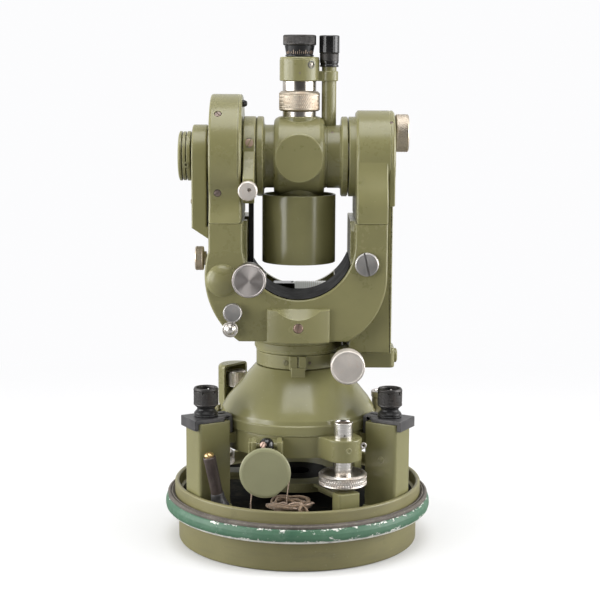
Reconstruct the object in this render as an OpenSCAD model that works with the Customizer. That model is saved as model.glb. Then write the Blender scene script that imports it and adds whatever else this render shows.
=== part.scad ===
// Optical-reading theodolite held on the steel base of its transport case.
// Millimetres. The origin is the centre of the case base on the ground, +Z is up,
// the operator's face of the yoke looks along -Y and the circle drum is on -X.
// The telescope stands upright with its eyepiece at the top.

/* [Case base] */
// Radius of the drum that stands on the ground
base_r = 80.5; // [79.5:0.5:82]
// Height of the deck that the clamp posts stand on
deck_z = 30; // [28:0.5:32]
// Height of the upright rim that the hood fits over
rim_top = 39.7; // [38:0.1:42]
// Outer radius of the painted band
band_r = 89.3; // [88.5:0.1:91]

/* [Clamps] */
// Height of the clamp posts
post_top = 87; // [86:0.5:88]
// Distance of each clamp screw from the centre
clamp_r = 69; // [68:0.5:70]

/* [Levelling] */
// Distance of the foot screws from the centre
foot_r = 58.4; // [58.4:0.1:59]
// Radius of the knurled foot screw discs
foot_disc_r = 15.6; // [14:0.2:16]

/* [Circle housing] */
// Radius of the cylindrical band of the housing
housing_r = 52; // [51.5:0.1:52.5]
// Radius of the vertical axis spindle
spindle_r = 9; // [8:0.5:10]

/* [Yoke] */
// Half the depth of the standards, front to back
yoke_d = 40; // [39:0.5:41]
// Half the width of the opening for the telescope
opening = 35.9; // [35.7:0.1:36.1]
// Height of the yoke's flat underside
yoke_z = 139.8; // [139.4:0.1:140.4]
// Height of the seam below the drums
seam_z = 216; // [215:0.5:217]
// Radius of the vertical circle drum
circle_drum_r = 40.4; // [39.5:0.1:41]
// Radius of the micrometer drum
micro_drum_r = 30.2; // [29:0.1:31]

/* [Telescope] */
// Height of the tilting axis
axis_z = 256.5; // [256:0.1:257]
// Radius of the objective sleeve
sleeve_r = 24.2; // [23.5:0.1:25]
// Distance of the reading microscope from the telescope
microscope_x = 19.3; // [19:0.1:19.8]
// Radius of the focusing sleeve
focus_r = 13.4; // [12.5:0.1:14]

/* [Hidden] */

$fn = 64;

// Running clearance on a radius, and the gap kept between faces that turn past each other
fit = 0.05;
gap = 0.2;
eps = 0.5;
skin = 2.5;

// Case base
rim_r = base_r + 2.5;
rim_in = rim_r - 3;
foot_in = base_r - 9;
band_z = 20.5;
band_top = 29.9;
gasket_top = 32.3;
clamp_az = [-150, -30, 90];
foot_az = [-60, 60, 180];
post_in = 56.5;
post_out = rim_in - 1;
post_w = 21;
stud_r = 3;
hook_z = post_top + fit;
hook_t = 2.6;
lip_drop = 4.2;
knob_z = hook_z + hook_t + fit;
rest_az = 3;
rest_z = 46.5;

// Tribrach and foot screws
trivet_z = 38;
trivet_top = 44;
tripod_bolt_r = 7.94;
tribrach_z = 65.5;
tribrach_top = 80;
tribrach_r = 51;
boss_r = 12.2;
screw_r = 4.5;
cap_r = 6.3;
cap_top = 90;
lug_z = 77.9;
knob_az = 142;
knob_r = 55;
pinion_r = 5.45;
level_az = 18;
level_r = 61;
mirror_x = -20.4;
mirror_y = -71;
mirror_z = 61.4;
mirror_r = 16.2;
mirror_pin = [-19.6, -61, 77];
mirror_pin_r = 2;

// Housing and vertical axis
shoulder_z = 86.5;
neck_z = 118.6;
neck_r = 21;
neck_top = 126.5;
bush_r = 14;
bush_z = 60;
collar_r = 28;
collar_top = 128.4;
flange_r = 29.2;
flange_z = 128.7;
circle_z = 82;
circle_t = 3;
azimuth_z = 123.5;
azimuth_stud_r = 2.5;
azimuth_knob_az = 100;

// Yoke
left_out = 57.5;
right_out = 57;
corner_x = 7.5;
corner_z = 182.5;
left_corner_r = 52.5;
right_corner_r = 49.3;
bowl_z = 202.6;
pad = 33.4;
pad_z = 189;
front_slab = 12;
drum_x = 36.8;
drum_wall = 6.2;
axle_r = 9;
bearing_r = 13;
lever_x = [-33, -29.8];
lever_y = [-6, 2];
lever_z = 178;
drive_r = 3;
drive_x = -31;
drive_z = 181.6;
level_x = 9;
recess_z = 164;
h_drive_x = 31.4;
h_drive_z = 127.4;
h_lug_y = -18;
plate_x = [-69.5, -59.7];
plate_r = 20.5;
knuckle = [-72.2, 18.6];
knuckle_r = 2.4;
pin_r = 1;

// Telescope
ring_r = 26.1;
hub_r = 20.6;
body_r = 22.9;
body_half = 16.4;
body_top = 279.5;
body_z = 232;
neck_bore = 7.5;
neck_out = 11;
spigot_r = 9;
sleeve_z = [286.1, 298.9];
neck_end = 305.5;
collar_end = 320.9;
ocular_r = 8.6;
micro_tube_r = 4.8;

// ---- small shape helpers -------------------------------------------------

module rod_x(r, x0, x1) translate([x0, 0, 0]) rotate([0, 90, 0]) cylinder(r = r, h = x1 - x0);
module rod_y(r, y0, y1) translate([0, y0, 0]) rotate([-90, 0, 0]) cylinder(r = r, h = y1 - y0);
module rod_z(r, z0, z1) translate([0, 0, z0]) cylinder(r = r, h = z1 - z0);
module block(x, y, z) translate([x[0], y[0], z[0]]) cube([x[1] - x[0], y[1] - y[0], z[1] - z[0]]);
module polar(az, radius) rotate(az) translate([radius, 0, 0]) children();

// Extrudes a front view (x across, y up) between two depths
module slab_y(y0, y1) translate([0, y1, 0]) rotate([90, 0, 0]) linear_extrude(y1 - y0) children();
// Extrudes a side view (x to the rear, y up) between two sideways places
module slab_x(x0, x1) translate([x0, 0, 0]) rotate([90, 0, 90]) linear_extrude(x1 - x0) children();

module ring_z(r_in, r_out, z0, z1) {
  difference() {
    rod_z(r_out, z0, z1);
    rod_z(r_in, z0 - eps, z1 + eps);
  }
}

// A knob head with a thinner stud, standing on z = 0 with the stud below it
module plain_knob(r, h, stud, stud_len) {
  rod_z(r, 0, h);
  rod_z(stud, -stud_len, eps);
}

// ---- transport case base --------------------------------------------------

module base_pan() {
  color("olivedrab") rotate_extrude($fn = 120) {
    translate([foot_in, 0]) square([base_r - foot_in, skin]);
    translate([base_r - skin, 0]) square([skin, deck_z]);
    translate([0, deck_z - skin]) square([base_r, skin]);
    translate([rim_in, deck_z - skin]) square([rim_r - rim_in, rim_top - deck_z + skin]);
    intersection() {
      translate([band_r - 8, (band_z + band_top) / 2]) circle(8);
      translate([base_r - eps, band_z]) square([12, band_top - band_z]);
    }
  }
}

module rim_gasket() {
  color("dimgray") rotate_extrude($fn = 120) difference() {
    translate([rim_r, band_top]) square([5, gasket_top - band_top]);
    for (k = [1.4, 3.2]) translate([rim_r + k, gasket_top - 0.6]) square([0.7, 1]);
  }
}

module clamp_post() {
  difference() {
    block([post_in, post_out], [-post_w / 2, post_w / 2], [deck_z, post_top]);
    translate([clamp_r, 0, 0]) rod_z(stud_r + fit, post_top - 24, post_top + eps);
  }
}

module pan_supports() {
  color("olivedrab") {
    for (az = clamp_az) rotate(az) clamp_post();
    for (az = foot_az) rotate(az - rest_az) block([63, 73.5], [-7.5, 7.5], [deck_z, rest_z]);
  }
}

module clamp_hook(az) {
  color("black") rotate(az) difference() {
    union() {
      block([clamp_r - 9, post_out + 3.2], [-post_w / 2, post_w / 2], [hook_z, hook_z + hook_t]);
      block([post_out + 0.1, post_out + 3.2], [-post_w / 2, post_w / 2], [post_top - lip_drop, hook_z + hook_t]);
      block([52.6, clamp_r], [-6.5, 6.5], [hook_z, hook_z + hook_t]);
      block([52.6, post_in - 0.2], [-6.5, 6.5], [lug_z + fit, hook_z + hook_t]);
    }
    translate([clamp_r, 0, 0]) rod_z(stud_r + fit, hook_z - eps, knob_z + eps);
  }
}

module clamp_knob(az) {
  color("black") polar(az, clamp_r) translate([0, 0, knob_z]) difference() {
    union() {
      rod_z(7.9, 0, 2.4);
      rod_z(6.6, 2.4, 7.4);
      rod_z(8.1, 7.4, 20.4);
      rod_z(stud_r, -17, eps);
    }
    rod_z(5.9, 14, 21);
  }
}

// ---- tribrach and levelling ----------------------------------------------

module trivet_plate() {
  color("black") difference() {
    union() {
      rod_z(22, deck_z, trivet_top);
      translate([0, 0, trivet_z]) linear_extrude(trivet_top - trivet_z) {
        circle(34);
        for (az = foot_az) rotate(az) {
          translate([20, -6.9]) square([34, 13.8]);
          translate([54, 0]) circle(6.9);
        }
      }
    }
    rod_z(tripod_bolt_r, deck_z - eps, trivet_top + eps);
  }
}

module tribrach_outline() {
  circle(tribrach_r);
  for (az = foot_az) rotate(az) translate([foot_r, 0]) circle(boss_r);
  rotate(knob_az) translate([knob_r, 0]) circle(12.2);
  rotate(level_az) {
    translate([level_r, 0]) circle(9);
    translate([45, -8]) square([level_r - 45, 16]);
  }
}

module tribrach() {
  color("olivedrab") difference() {
    union() {
      translate([0, 0, tribrach_z]) linear_extrude(tribrach_top - tribrach_z) tribrach_outline();
      for (az = clamp_az) rotate(az) block([50, 56], [-6, 6], [lug_z - 7, lug_z]);
      block([mirror_x - 11, mirror_x + 11], [-55, -45], [66.5, 76]);
      for (side = [-1, 1]) translate([mirror_pin[0] + side * 8, 0, 0])
        block([-1.5, 1.5], [-63.5, -50], [73, 79.5]);
      translate([0, mirror_pin[1], mirror_pin[2]]) rod_x(mirror_pin_r, mirror_pin[0] - 8, mirror_pin[0] + 8);
    }
    rod_z(bush_r, tribrach_z - eps, tribrach_top + eps);
    difference() {
      rod_z(46, tribrach_z - eps, tribrach_top - 5);
      rod_z(18, tribrach_z - eps, tribrach_top);
      for (az = foot_az) polar(az, foot_r) rod_z(boss_r, tribrach_z - eps, tribrach_top);
    }
    for (az = foot_az) polar(az, foot_r) rod_z(screw_r + fit, tribrach_z - eps, tribrach_top + eps);
    polar(knob_az, knob_r) rod_z(azimuth_stud_r + fit, tribrach_top - 9, tribrach_top + eps);
  }
}

module foot_screw_caps() {
  color("silver") for (az = foot_az) polar(az, foot_r) ring_z(5, cap_r, tribrach_top, cap_top);
}

module foot_screw(az) {
  color("silver") polar(az, foot_r) {
    rod_z(screw_r, trivet_top + 4, cap_top - 4);
    rod_z(6.2, 57, tribrach_z - gap);
    rod_z(foot_disc_r, 48.6, 57);
    translate([0, 0, trivet_top + 4 + fit]) sphere(4);
  }
}

module circle_mirror() {
  pin = mirror_pin;
  color("olivedrab") difference() {
    union() {
      translate([mirror_x, 0, mirror_z]) rod_y(mirror_r, mirror_y - 1, mirror_y + 2);
      translate([0, pin[1], pin[2]]) rod_x(5, pin[0] - 6, pin[0] + 6);
      block([pin[0] - 4, pin[0] + 4], [mirror_y + 1.5, pin[1] - 2], [pin[2] - 6, pin[2] - 1]);
    }
    translate([0, pin[1], pin[2]]) rod_x(mirror_pin_r + fit, pin[0] - 8, pin[0] + 8);
  }
}

module circular_level() {
  color("silver") polar(level_az, level_r) difference() {
    rod_z(7.8, tribrach_top, 95.5);
    rod_z(6, 93, 96);
  }
}

// ---- circle housing and vertical axis ------------------------------------

module lower_housing() {
  color("olivedrab") difference() {
    rotate_extrude($fn = 96) polygon([
      [housing_r, tribrach_top], [housing_r, shoulder_z], [50.9, 90], [47.3, 95.5], [38.6, 106.2],
      [34.6, 111], [collar_r, neck_z], [neck_r - fit, neck_z], [neck_r - fit, neck_top],
      [bush_r, neck_top], [bush_r, neck_z - 4], [26, neck_z - 4], [35.5, 105], [45, 93],
      [housing_r - 2, 88], [housing_r - 2, tribrach_top]]);
    polar(knob_az, knob_r) rod_z(pinion_r + 0.3, tribrach_top - eps, circle_z + circle_t + 1);
  }
}

module axis_bush() {
  color("silver") ring_z(spindle_r + fit, bush_r, bush_z, neck_top + eps);
}

module horizontal_circle() {
  color("lightcyan") {
    ring_z(bush_r + fit, housing_r - 2.5, circle_z, circle_z + circle_t);
    ring_z(26, 42, circle_z + circle_t, circle_z + circle_t + 2);
  }
}

module circle_setting_knob() {
  color("silver") polar(knob_az, knob_r) {
    rod_z(azimuth_stud_r, tribrach_top - 8, 95.5);
    rod_z(pinion_r, circle_z, circle_z + circle_t);
    rod_z(6.8, 95, 106);
  }
}

module circle_knob_cover() {
  color("olivedrab") polar(knob_az, knob_r) difference() {
    rod_z(12.2, tribrach_top, 111);
    rod_z(10.7, tribrach_top - eps, 109.4);
    block([-14, 0], [-14, 14], [tribrach_top - eps, 112]);
  }
}

module azimuth_collar() {
  color("olivedrab") difference() {
    union() {
      rod_z(collar_r, neck_z + gap, collar_top);
      block([-5.5, 5.5], [-35, -26], [neck_z + gap, collar_top]);
      block([-4.5, 4.5], [-35, -32.4], [neck_z - 4, neck_z + gap + eps]);
      block([20, 37], [h_lug_y, h_lug_y + 6], [neck_z + gap, collar_top]);
      rotate(azimuth_knob_az) translate([0, 0, azimuth_z]) rod_x(4.7, 24, 36);
    }
    rod_z(neck_r, neck_z, collar_top + eps);
    rotate(azimuth_knob_az) translate([0, 0, azimuth_z]) rod_x(azimuth_stud_r + fit, 22, 37);
  }
}

module azimuth_clamp_knob() {
  color("silver") rotate(azimuth_knob_az) translate([0, 0, azimuth_z]) {
    rod_x(5.6, 36 + gap, 47);
    rod_x(azimuth_stud_r, 24, 37);
  }
}

module vertical_spindle() {
  color("silver") rod_z(spindle_r, bush_z + 2, yoke_z + 10);
}

// ---- yoke ------------------------------------------------------------------

module bowl() {
  translate([0, bowl_z]) circle(opening);
  translate([-opening, bowl_z]) square([2 * opening, 60]);
}

module yoke_front_view() {
  difference() {
    intersection() {
      union() {
        translate([corner_x, corner_z]) circle(right_corner_r);
        translate([-corner_x, corner_z]) circle(left_corner_r);
        translate([-corner_x, corner_z - right_corner_r]) square([2 * corner_x, 40]);
        translate([-left_out, corner_z]) square([left_out, seam_z - corner_z]);
        translate([0, corner_z]) square([right_out, seam_z - corner_z]);
      }
      translate([-70, yoke_z]) square([140, seam_z - yoke_z]);
    }
    bowl();
  }
}

module yoke_rear_view() {
  intersection() {
    union() {
      yoke_front_view();
      for (side = [-1, 1]) translate([side * (pad + 2) - 2, pad_z]) square([4, seam_z - pad_z]);
    }
    translate([-70, yoke_z]) square([110, 90]);
  }
}

module axis_boss() {
  difference() {
    intersection() {
      rod_z(47.5, yoke_z, 161.2);
      block([-20, 20], [-50, eps - yoke_d], [yoke_z, 161.2]);
    }
    // the scooped top slopes down to the front
    translate([0, -60, 186]) rotate([atan(0.8), 0, 0]) rod_y(32, -40, 30);
  }
}

module drive_boss() {
  translate([drive_x, 0, drive_z]) {
    rod_y(7, -50, eps - yoke_d);
    rod_y(5, -yoke_d, -13);
  }
  translate([h_drive_x, 0, h_drive_z]) rod_y(7, -55, front_slab - yoke_d);
  block([h_drive_x - 6, h_drive_x + 6], [-yoke_d, front_slab - yoke_d], [h_drive_z, yoke_z + 1]);
}

module front_dome() {
  intersection() {
    translate([-48.5, -34.2, 179.4]) sphere(11.3);
    block([-70, 0], [-60, eps - yoke_d], [160, 200]);
  }
}

module yoke() {
  color("olivedrab") difference() {
    union() {
      slab_y(-yoke_d, front_slab - yoke_d) yoke_front_view();
      slab_y(front_slab - yoke_d, yoke_d) yoke_rear_view();
      rod_z(flange_r, flange_z, yoke_z + eps);
      axis_boss();
      drive_boss();
      front_dome();
    }
    // spindle seat, lever slot, hollow of the left standard and level recess
    rod_z(spindle_r, flange_z - eps, yoke_z + 10);
    block([-36, -28.5], [-13, 9], [lever_z - 5, seam_z + eps]);
    block([-54, -40], [-22, 34], [168, seam_z - 8]);
    block([-22, 24], [10, 34], [recess_z, 190]);
    // seats of the moving fittings
    translate([drive_x, 0, drive_z]) rod_y(drive_r + 2 * fit, -51, lever_y[1]);
    translate([h_drive_x, 0, h_drive_z]) rod_y(drive_r + fit, -56, -20);
    translate([43.5, 0, 190.3]) rod_y(3 + fit, -41, -31);
    translate([-41.9, 0, 159]) rod_y(2 + fit, -41, -31);
    translate([-43.4, 0, 148.5]) rod_y(2 + fit, -41, -31);
    translate([0, 0, 188.8]) rod_x(2.5 + fit, -62, -53);
    front_screw_seat();
  }
}

module plate_level() {
  color("lightyellow") translate([0, 22, recess_z + 3.4]) rod_x(3.4, level_x - 13, level_x + 11);
}

module circle_drum_view() {
  translate([0, axis_z]) circle(circle_drum_r, $fn = 96);
  polygon([[-yoke_d, seam_z], [yoke_d, seam_z], [yoke_d, seam_z + 1.5], [36.5, 222], [33.5, 234],
    [-33.5, 234], [-36.5, 222], [-yoke_d, seam_z + 1.5]]);
}

module circle_drum() {
  color("olivedrab") difference() {
    slab_x(-left_out, -drum_x) circle_drum_view();
    translate([0, 0, axis_z]) {
      rod_x(37.5, -left_out + 2.5, -drum_x - drum_wall);
      rod_x(bearing_r, -drum_x - drum_wall - eps, -drum_x + eps);
      rod_x(8, -left_out - eps, -left_out + 3);
    }
    drum_screws();
  }
}

module cover_plate() {
  color("olivedrab") {
    translate([0, 0, axis_z]) rod_x(17, plate_x[1], -left_out);
    slab_x(plate_x[0], plate_x[1]) {
      translate([0, axis_z]) circle(plate_r);
      translate([-plate_r, 211]) square([2 * plate_r, axis_z - 211]);
    }
    slab_y(-plate_r, plate_r) polygon([[plate_x[0], 211], [-left_out - 1.4, 204], [-left_out - 1.4, 211]]);
    for (z = [247.5, 261.5]) {
      translate([knuckle[0], knuckle[1], 0]) rod_z(knuckle_r, z, z + 4);
      block([knuckle[0], plate_x[0] + 1], [knuckle[1] - knuckle_r, knuckle[1] + 1], [z, z + 4]);
    }
    translate([knuckle[0], knuckle[1], 0]) rod_z(pin_r, 248, 265);
  }
}

module illumination_mirror() {
  color("olivedrab") difference() {
    union() {
      translate([0, 0, axis_z]) {
        rod_x(16.2, -78.9, -75.6);
        rod_x(15.4, -75.7, -73.6);
        rod_x(16.2, -73.7, -70.6);
      }
      translate([knuckle[0], knuckle[1], 0]) rod_z(knuckle_r, 252, 261);
      block([-74.6, -71.4], [14, knuckle[1]], [252.4, 260.6]);
    }
    translate([knuckle[0], knuckle[1], 0]) rod_z(pin_r + fit, 251, 262);
  }
}

module micrometer_drum_view() {
  translate([0, axis_z]) circle(micro_drum_r, $fn = 96);
}

module standard_column_view() {
  polygon([[-yoke_d, seam_z], [yoke_d, seam_z], [yoke_d, 236], [36, 243], [31.5, 250], [29, axis_z],
    [-29, axis_z], [-31.5, 250], [-36, 243], [-yoke_d, 236]]);
}

module micrometer_drum() {
  color("olivedrab") difference() {
    union() {
      slab_x(drum_x, 61.9) micrometer_drum_view();
      slab_x(drum_x, right_out) standard_column_view();
      translate([0, 0, axis_z]) rod_x(ring_r, 32.3, drum_x + eps);
    }
    translate([0, 0, axis_z]) {
      rod_x(bearing_r, 32, drum_x + drum_wall + eps);
      rod_x(26, drum_x + drum_wall, 59.5);
    }
    translate([0, 0, 272]) rod_x(3 + fit, 58, 63);
    small_screws();
  }
}

module rear_box() {
  color("olivedrab") slab_y(front_slab - yoke_d, 36)
    polygon([[40, 130], [60.5, 130], [60.5, 226], [right_out, 226], [right_out, seam_z], [40, seam_z]]);
}

module lower_bracket() {
  color("olivedrab") {
    block([33.5, 64.2], [-8, 14], [116.6, 130]);
    translate([0, 3, 123.3]) rod_x(4.8, 64, 66.5);
  }
}

module trunnion_bearings() {
  color("goldenrod") for (side = [0, 1]) mirror([side, 0, 0]) translate([0, 0, axis_z]) difference() {
    rod_x(bearing_r, drum_x, drum_x + drum_wall);
    rod_x(axle_r + fit, drum_x - eps, drum_x + drum_wall + eps);
  }
}

// ---- fasteners ---------------------------------------------------------------

module front_screw_seat() translate([0, 0, 149.7]) rod_y(3.2, -49, -45);

module drum_screws() {
  for (tilt = [-39.5, 39.5]) translate([-53, 0, axis_z]) rotate([tilt, 0, 0])
    rod_y(2.3, 0.2 - circle_drum_r - eps, 2 - circle_drum_r);
}

module small_screws() {
  for (tilt = [-50, 45]) translate([59.4, 0, axis_z]) rotate([tilt, 0, 0])
    rod_y(1.2, 0.2 - micro_drum_r - eps, 1.6 - micro_drum_r);
}

module case_screws() {
  color("dimgray") {
    intersection() {
      front_screw_seat();
      rod_z(48, 140, 160);
    }
    drum_screws();
    small_screws();
  }
}

// ---- controls on the yoke ---------------------------------------------------

module inverter_knob() {
  color("silver") translate([43.5, -yoke_d - gap, 190.3]) rotate([90, 0, 0]) plain_knob(7.6, 3, 3, 8);
}

module drive_spindle(x, z, y0, tip_y) {
  color("silver") translate([x, 0, z]) {
    rod_y(drive_r, y0, tip_y - drive_r);
    translate([0, tip_y - drive_r, 0]) sphere(drive_r);
  }
}

module vertical_drive_spindle() drive_spindle(drive_x, drive_z, -56.5, lever_y[0] - fit);
module horizontal_drive_spindle() drive_spindle(h_drive_x, h_drive_z, -60.5, h_lug_y - fit);

// A cup that hides the end of its boss; the spindle's end sits in its face
module drive_knob(x, z, y0, depth) {
  color("silver") translate([x, 0, z]) difference() {
    rod_y(10.8, y0, y0 + depth);
    rod_y(8, y0 + 3, y0 + depth + eps);
    rod_y(drive_r + fit, y0 + 1.4, y0 + 3 + eps);
  }
}

module vertical_drive_knob() drive_knob(drive_x, drive_z, -58, 11.8);
module horizontal_drive_knob() drive_knob(h_drive_x, h_drive_z, -62, 11);

module micrometer_knob() {
  color("silver") translate([0, 0, 272]) {
    rod_x(12.35, 62.9, 71.5);
    rod_x(3, 52, 63);
  }
}

module index_level_knob() {
  color("silver") translate([0, 0, 188.8]) {
    rod_x(8, -68.5, -61.6);
    rod_x(2.5, -62, -54);
  }
}

module lamp_knob() {
  color("silver") translate([-41.9, -yoke_d - gap, 159]) rotate([90, 0, 0]) plain_knob(5.7, 5, 2, 8);
}

module reflector_button() {
  color("silver") translate([-43.4, -yoke_d - 2.2, 148.5]) rotate([90, 0, 0]) plain_knob(4.7, 5.5, 2, 6);
}

// ---- telescope -----------------------------------------------------------------

module tilt_clamp_arm() {
  color("olivedrab") difference() {
    union() {
      translate([0, 0, axis_z]) rod_x(ring_r, -36.2, -28);
      slab_x(-35.6, -28.4)
        polygon([[-25, 262], [-32, 256], [-41, 244], [-41, 231], [-33, 228], [-18, 238], [-18, 262]]);
      block(lever_x, lever_y, [lever_z, axis_z - 15]);
    }
    translate([0, 0, axis_z]) rod_x(axle_r + fit, -37, -27);
    translate([-32.1, -41, 237.2]) rod_y(2 + fit, -eps, 9);
  }
}

module tilt_clamp_knob() {
  color("silver") translate([-32.1, 0, 237.2]) {
    rod_y(6.1, -50, -41 - gap);
    rod_y(2, -42, -33);
  }
}

module telescope_body() {
  color("olivedrab") difference() {
    union() {
      rod_z(14.9, body_z, axis_z);
      rod_z(12.6, axis_z, body_top);
      translate([0, 0, axis_z]) {
        rotate([0, 90, 0]) rotate_extrude() polygon([
          [0, -body_half], [body_r - 2.8, -body_half], [body_r, 2.8 - body_half],
          [body_r, body_half - 2.8], [body_r - 2.8, body_half], [0, body_half]]);
        rod_y(15.6, -23.3, 23.3);
        rod_x(hub_r, -23.1, 28);
        rod_x(ring_r, -27.6, -23);
        rod_x(ring_r, 27.3, 31.6);
      }
    }
    rod_z(12, body_z - eps, body_top + eps);
    translate([0, 0, axis_z]) {
      rod_x(axle_r, -28, -14);
      rod_x(axle_r, 14, 32);
    }
    translate([microscope_x, 0, 0]) rod_z(micro_tube_r, 271.5, 290);
  }
}

module trunnion_axle() {
  color("silver") translate([0, 0, axis_z]) for (side = [0, 1]) mirror([side, 0, 0]) difference() {
    rod_x(axle_r, 14, 50);
    rod_x(5, 13, 51);
  }
}

module vertical_circle() {
  color("lightcyan") translate([0, 0, axis_z]) difference() {
    rod_x(35.5, -49.8, -47.3);
    rod_x(axle_r, -50, -47);
  }
}

module objective_tube() {
  color("olivedrab") rotate_extrude($fn = 96) {
    // neck that widens into the lens barrel
    polygon([[12, body_z], [12, 225], [20, 209], [20, 189], [21.6, 189], [21.6, 210], [17, 222],
      [15.2, body_z]]);
    // outer sleeve, open at the top, and the web that carries it
    translate([sleeve_r - 1.4, 187.2]) square([1.4, 39.6]);
    translate([21, 196]) square([sleeve_r - 22, 6]);
  }
}

module fixed_lenses() {
  color("lightcyan") {
    rotate_extrude() intersection() {
      translate([0, 190]) square([20, 8]);
      translate([0, 190 + 60]) circle(60, $fn = 360);
      translate([0, 198 - 70]) circle(70, $fn = 360);
    }
    rod_z(neck_bore, 301, 302.5);
  }
}

module focusing_lens() {
  color("lightcyan") rod_z(neck_bore - 0.06, 289, 295);
}

module telescope_neck() {
  color("silver") difference() {
    union() {
      rod_z(neck_out, body_top, sleeve_z[0] - gap);
      rod_z(spigot_r, body_top, neck_end);
      rod_z(neck_out, sleeve_z[1] + gap, neck_end);
    }
    rod_z(neck_bore, body_top - eps, neck_end + eps);
  }
}

module focusing_sleeve() {
  color("silver") ring_z(spigot_r + fit, focus_r, sleeve_z[0], sleeve_z[1]);
}

module eyepiece_collar() {
  color("olivedrab") difference() {
    union() {
      rod_z(13, neck_end, collar_end);
      block([8, microscope_x], [-4, 4], [neck_end, 312]);
      translate([microscope_x, 0, 0]) rod_z(5.9, neck_end, 312);
    }
    rod_z(ocular_r, neck_end - eps, collar_end + eps);
    translate([microscope_x, 0, 0]) rod_z(micro_tube_r, neck_end - eps, 313);
  }
}

module dioptre_ring() {
  color("black") difference() {
    union() {
      rod_z(ocular_r - fit, 309, collar_end + 1);
      translate([0, 0, collar_end + gap]) cylinder(r1 = 8.8, r2 = 9.9, h = 7.4);
      rod_z(10.8, 328.4, 335);
    }
    rod_z(5.5, 308, 336);
  }
}

module microscope_tube() {
  color("olivedrab") translate([microscope_x, 0, 0]) ring_z(3.4, micro_tube_r, 271.5, 320);
}

module microscope_eyepiece() {
  color("black") translate([microscope_x, 0, 0]) difference() {
    union() {
      rod_z(6.2, 314.6, collar_end + gap);
      rod_z(6.6, collar_end + gap, 334.8);
    }
    rod_z(micro_tube_r + fit, 314, 321);
    rod_z(3, 320, 335);
  }
}

// ---- loose items stowed in the base ------------------------------------------------

bob_foot = [-49.6, -49, deck_z];
bob_top = [-57.2, -52.6, 70];

module plumb_bob() {
  lean = bob_top - bob_foot;
  color("dimgray") {
    translate(bob_foot) rotate_extrude() polygon([[0, 0], [6.4, 0], [6.4, 5.6], [4.4, 11], [0, 11]]);
    translate(bob_foot + [0, 0, 2]) rotate([0, acos(lean[2] / norm(lean)), atan2(lean[1], lean[0])])
      cylinder(r = 4.2, h = norm(lean) - 3);
  }
}

module plumb_cord() {
  color("tan") translate([-5, -57, deck_z + 5]) rotate_extrude() translate([13, 0]) circle(5, $fn = 32);
}

// ---- parts -----------------------------------------------------------------------------

base_pan();
rim_gasket();
pan_supports();
trivet_plate();
tribrach();
foot_screw_caps();
lower_housing();
axis_bush();
circle_knob_cover();
circular_level();
plumb_bob();
plumb_cord();
circle_mirror();
horizontal_circle();
circle_setting_knob();
foot_screw(foot_az[0]);  // foot_screw_front
foot_screw(foot_az[1]);  // foot_screw_rear
foot_screw(foot_az[2]);  // foot_screw_left
clamp_hook(clamp_az[0]);  // clamp_hook_left
clamp_hook(clamp_az[1]);  // clamp_hook_right
clamp_hook(clamp_az[2]);  // clamp_hook_rear
clamp_knob(clamp_az[0]);  // clamp_knob_left
clamp_knob(clamp_az[1]);  // clamp_knob_right
clamp_knob(clamp_az[2]);  // clamp_knob_rear
azimuth_collar();
azimuth_clamp_knob();
yoke();
vertical_spindle();
circle_drum();
cover_plate();
micrometer_drum();
rear_box();
lower_bracket();
trunnion_bearings();
plate_level();
case_screws();
inverter_knob();
vertical_drive_spindle();
vertical_drive_knob();
horizontal_drive_spindle();
horizontal_drive_knob();
micrometer_knob();
index_level_knob();
lamp_knob();
reflector_button();
illumination_mirror();
tilt_clamp_arm();
tilt_clamp_knob();
telescope_body();
trunnion_axle();
vertical_circle();
objective_tube();
fixed_lenses();
focusing_lens();
focusing_sleeve();
telescope_neck();
eyepiece_collar();
dioptre_ring();
microscope_tube();
microscope_eyepiece();
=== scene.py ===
import math
import random

import bmesh
import bpy
from mathutils import Matrix, Vector


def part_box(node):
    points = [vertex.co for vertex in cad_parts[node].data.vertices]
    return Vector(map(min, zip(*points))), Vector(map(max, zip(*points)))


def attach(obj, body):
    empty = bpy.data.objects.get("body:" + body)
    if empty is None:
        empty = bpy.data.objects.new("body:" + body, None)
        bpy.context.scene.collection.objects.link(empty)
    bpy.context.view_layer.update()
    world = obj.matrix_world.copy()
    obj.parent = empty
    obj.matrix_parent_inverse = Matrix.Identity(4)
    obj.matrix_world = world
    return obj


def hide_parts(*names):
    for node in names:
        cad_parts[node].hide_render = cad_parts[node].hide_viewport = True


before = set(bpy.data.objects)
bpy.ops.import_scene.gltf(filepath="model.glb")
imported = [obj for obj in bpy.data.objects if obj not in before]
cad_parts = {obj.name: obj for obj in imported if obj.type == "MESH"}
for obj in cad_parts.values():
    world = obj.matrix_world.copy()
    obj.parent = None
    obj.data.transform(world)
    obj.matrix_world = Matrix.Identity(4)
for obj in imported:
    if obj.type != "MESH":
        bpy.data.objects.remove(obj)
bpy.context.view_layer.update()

MM = 0.001
TAU = 2 * math.pi


# ---- places, read from the frame, in millimetres ------------------------------

def span(node):
    lo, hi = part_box(node)
    return lo / MM, hi / MM


def centre(node):
    lo, hi = span(node)
    return (lo + hi) / 2


def polar(azimuth, radius, z=0.0):
    a = math.radians(azimuth)
    return Vector((radius * math.cos(a), radius * math.sin(a), z))


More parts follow.
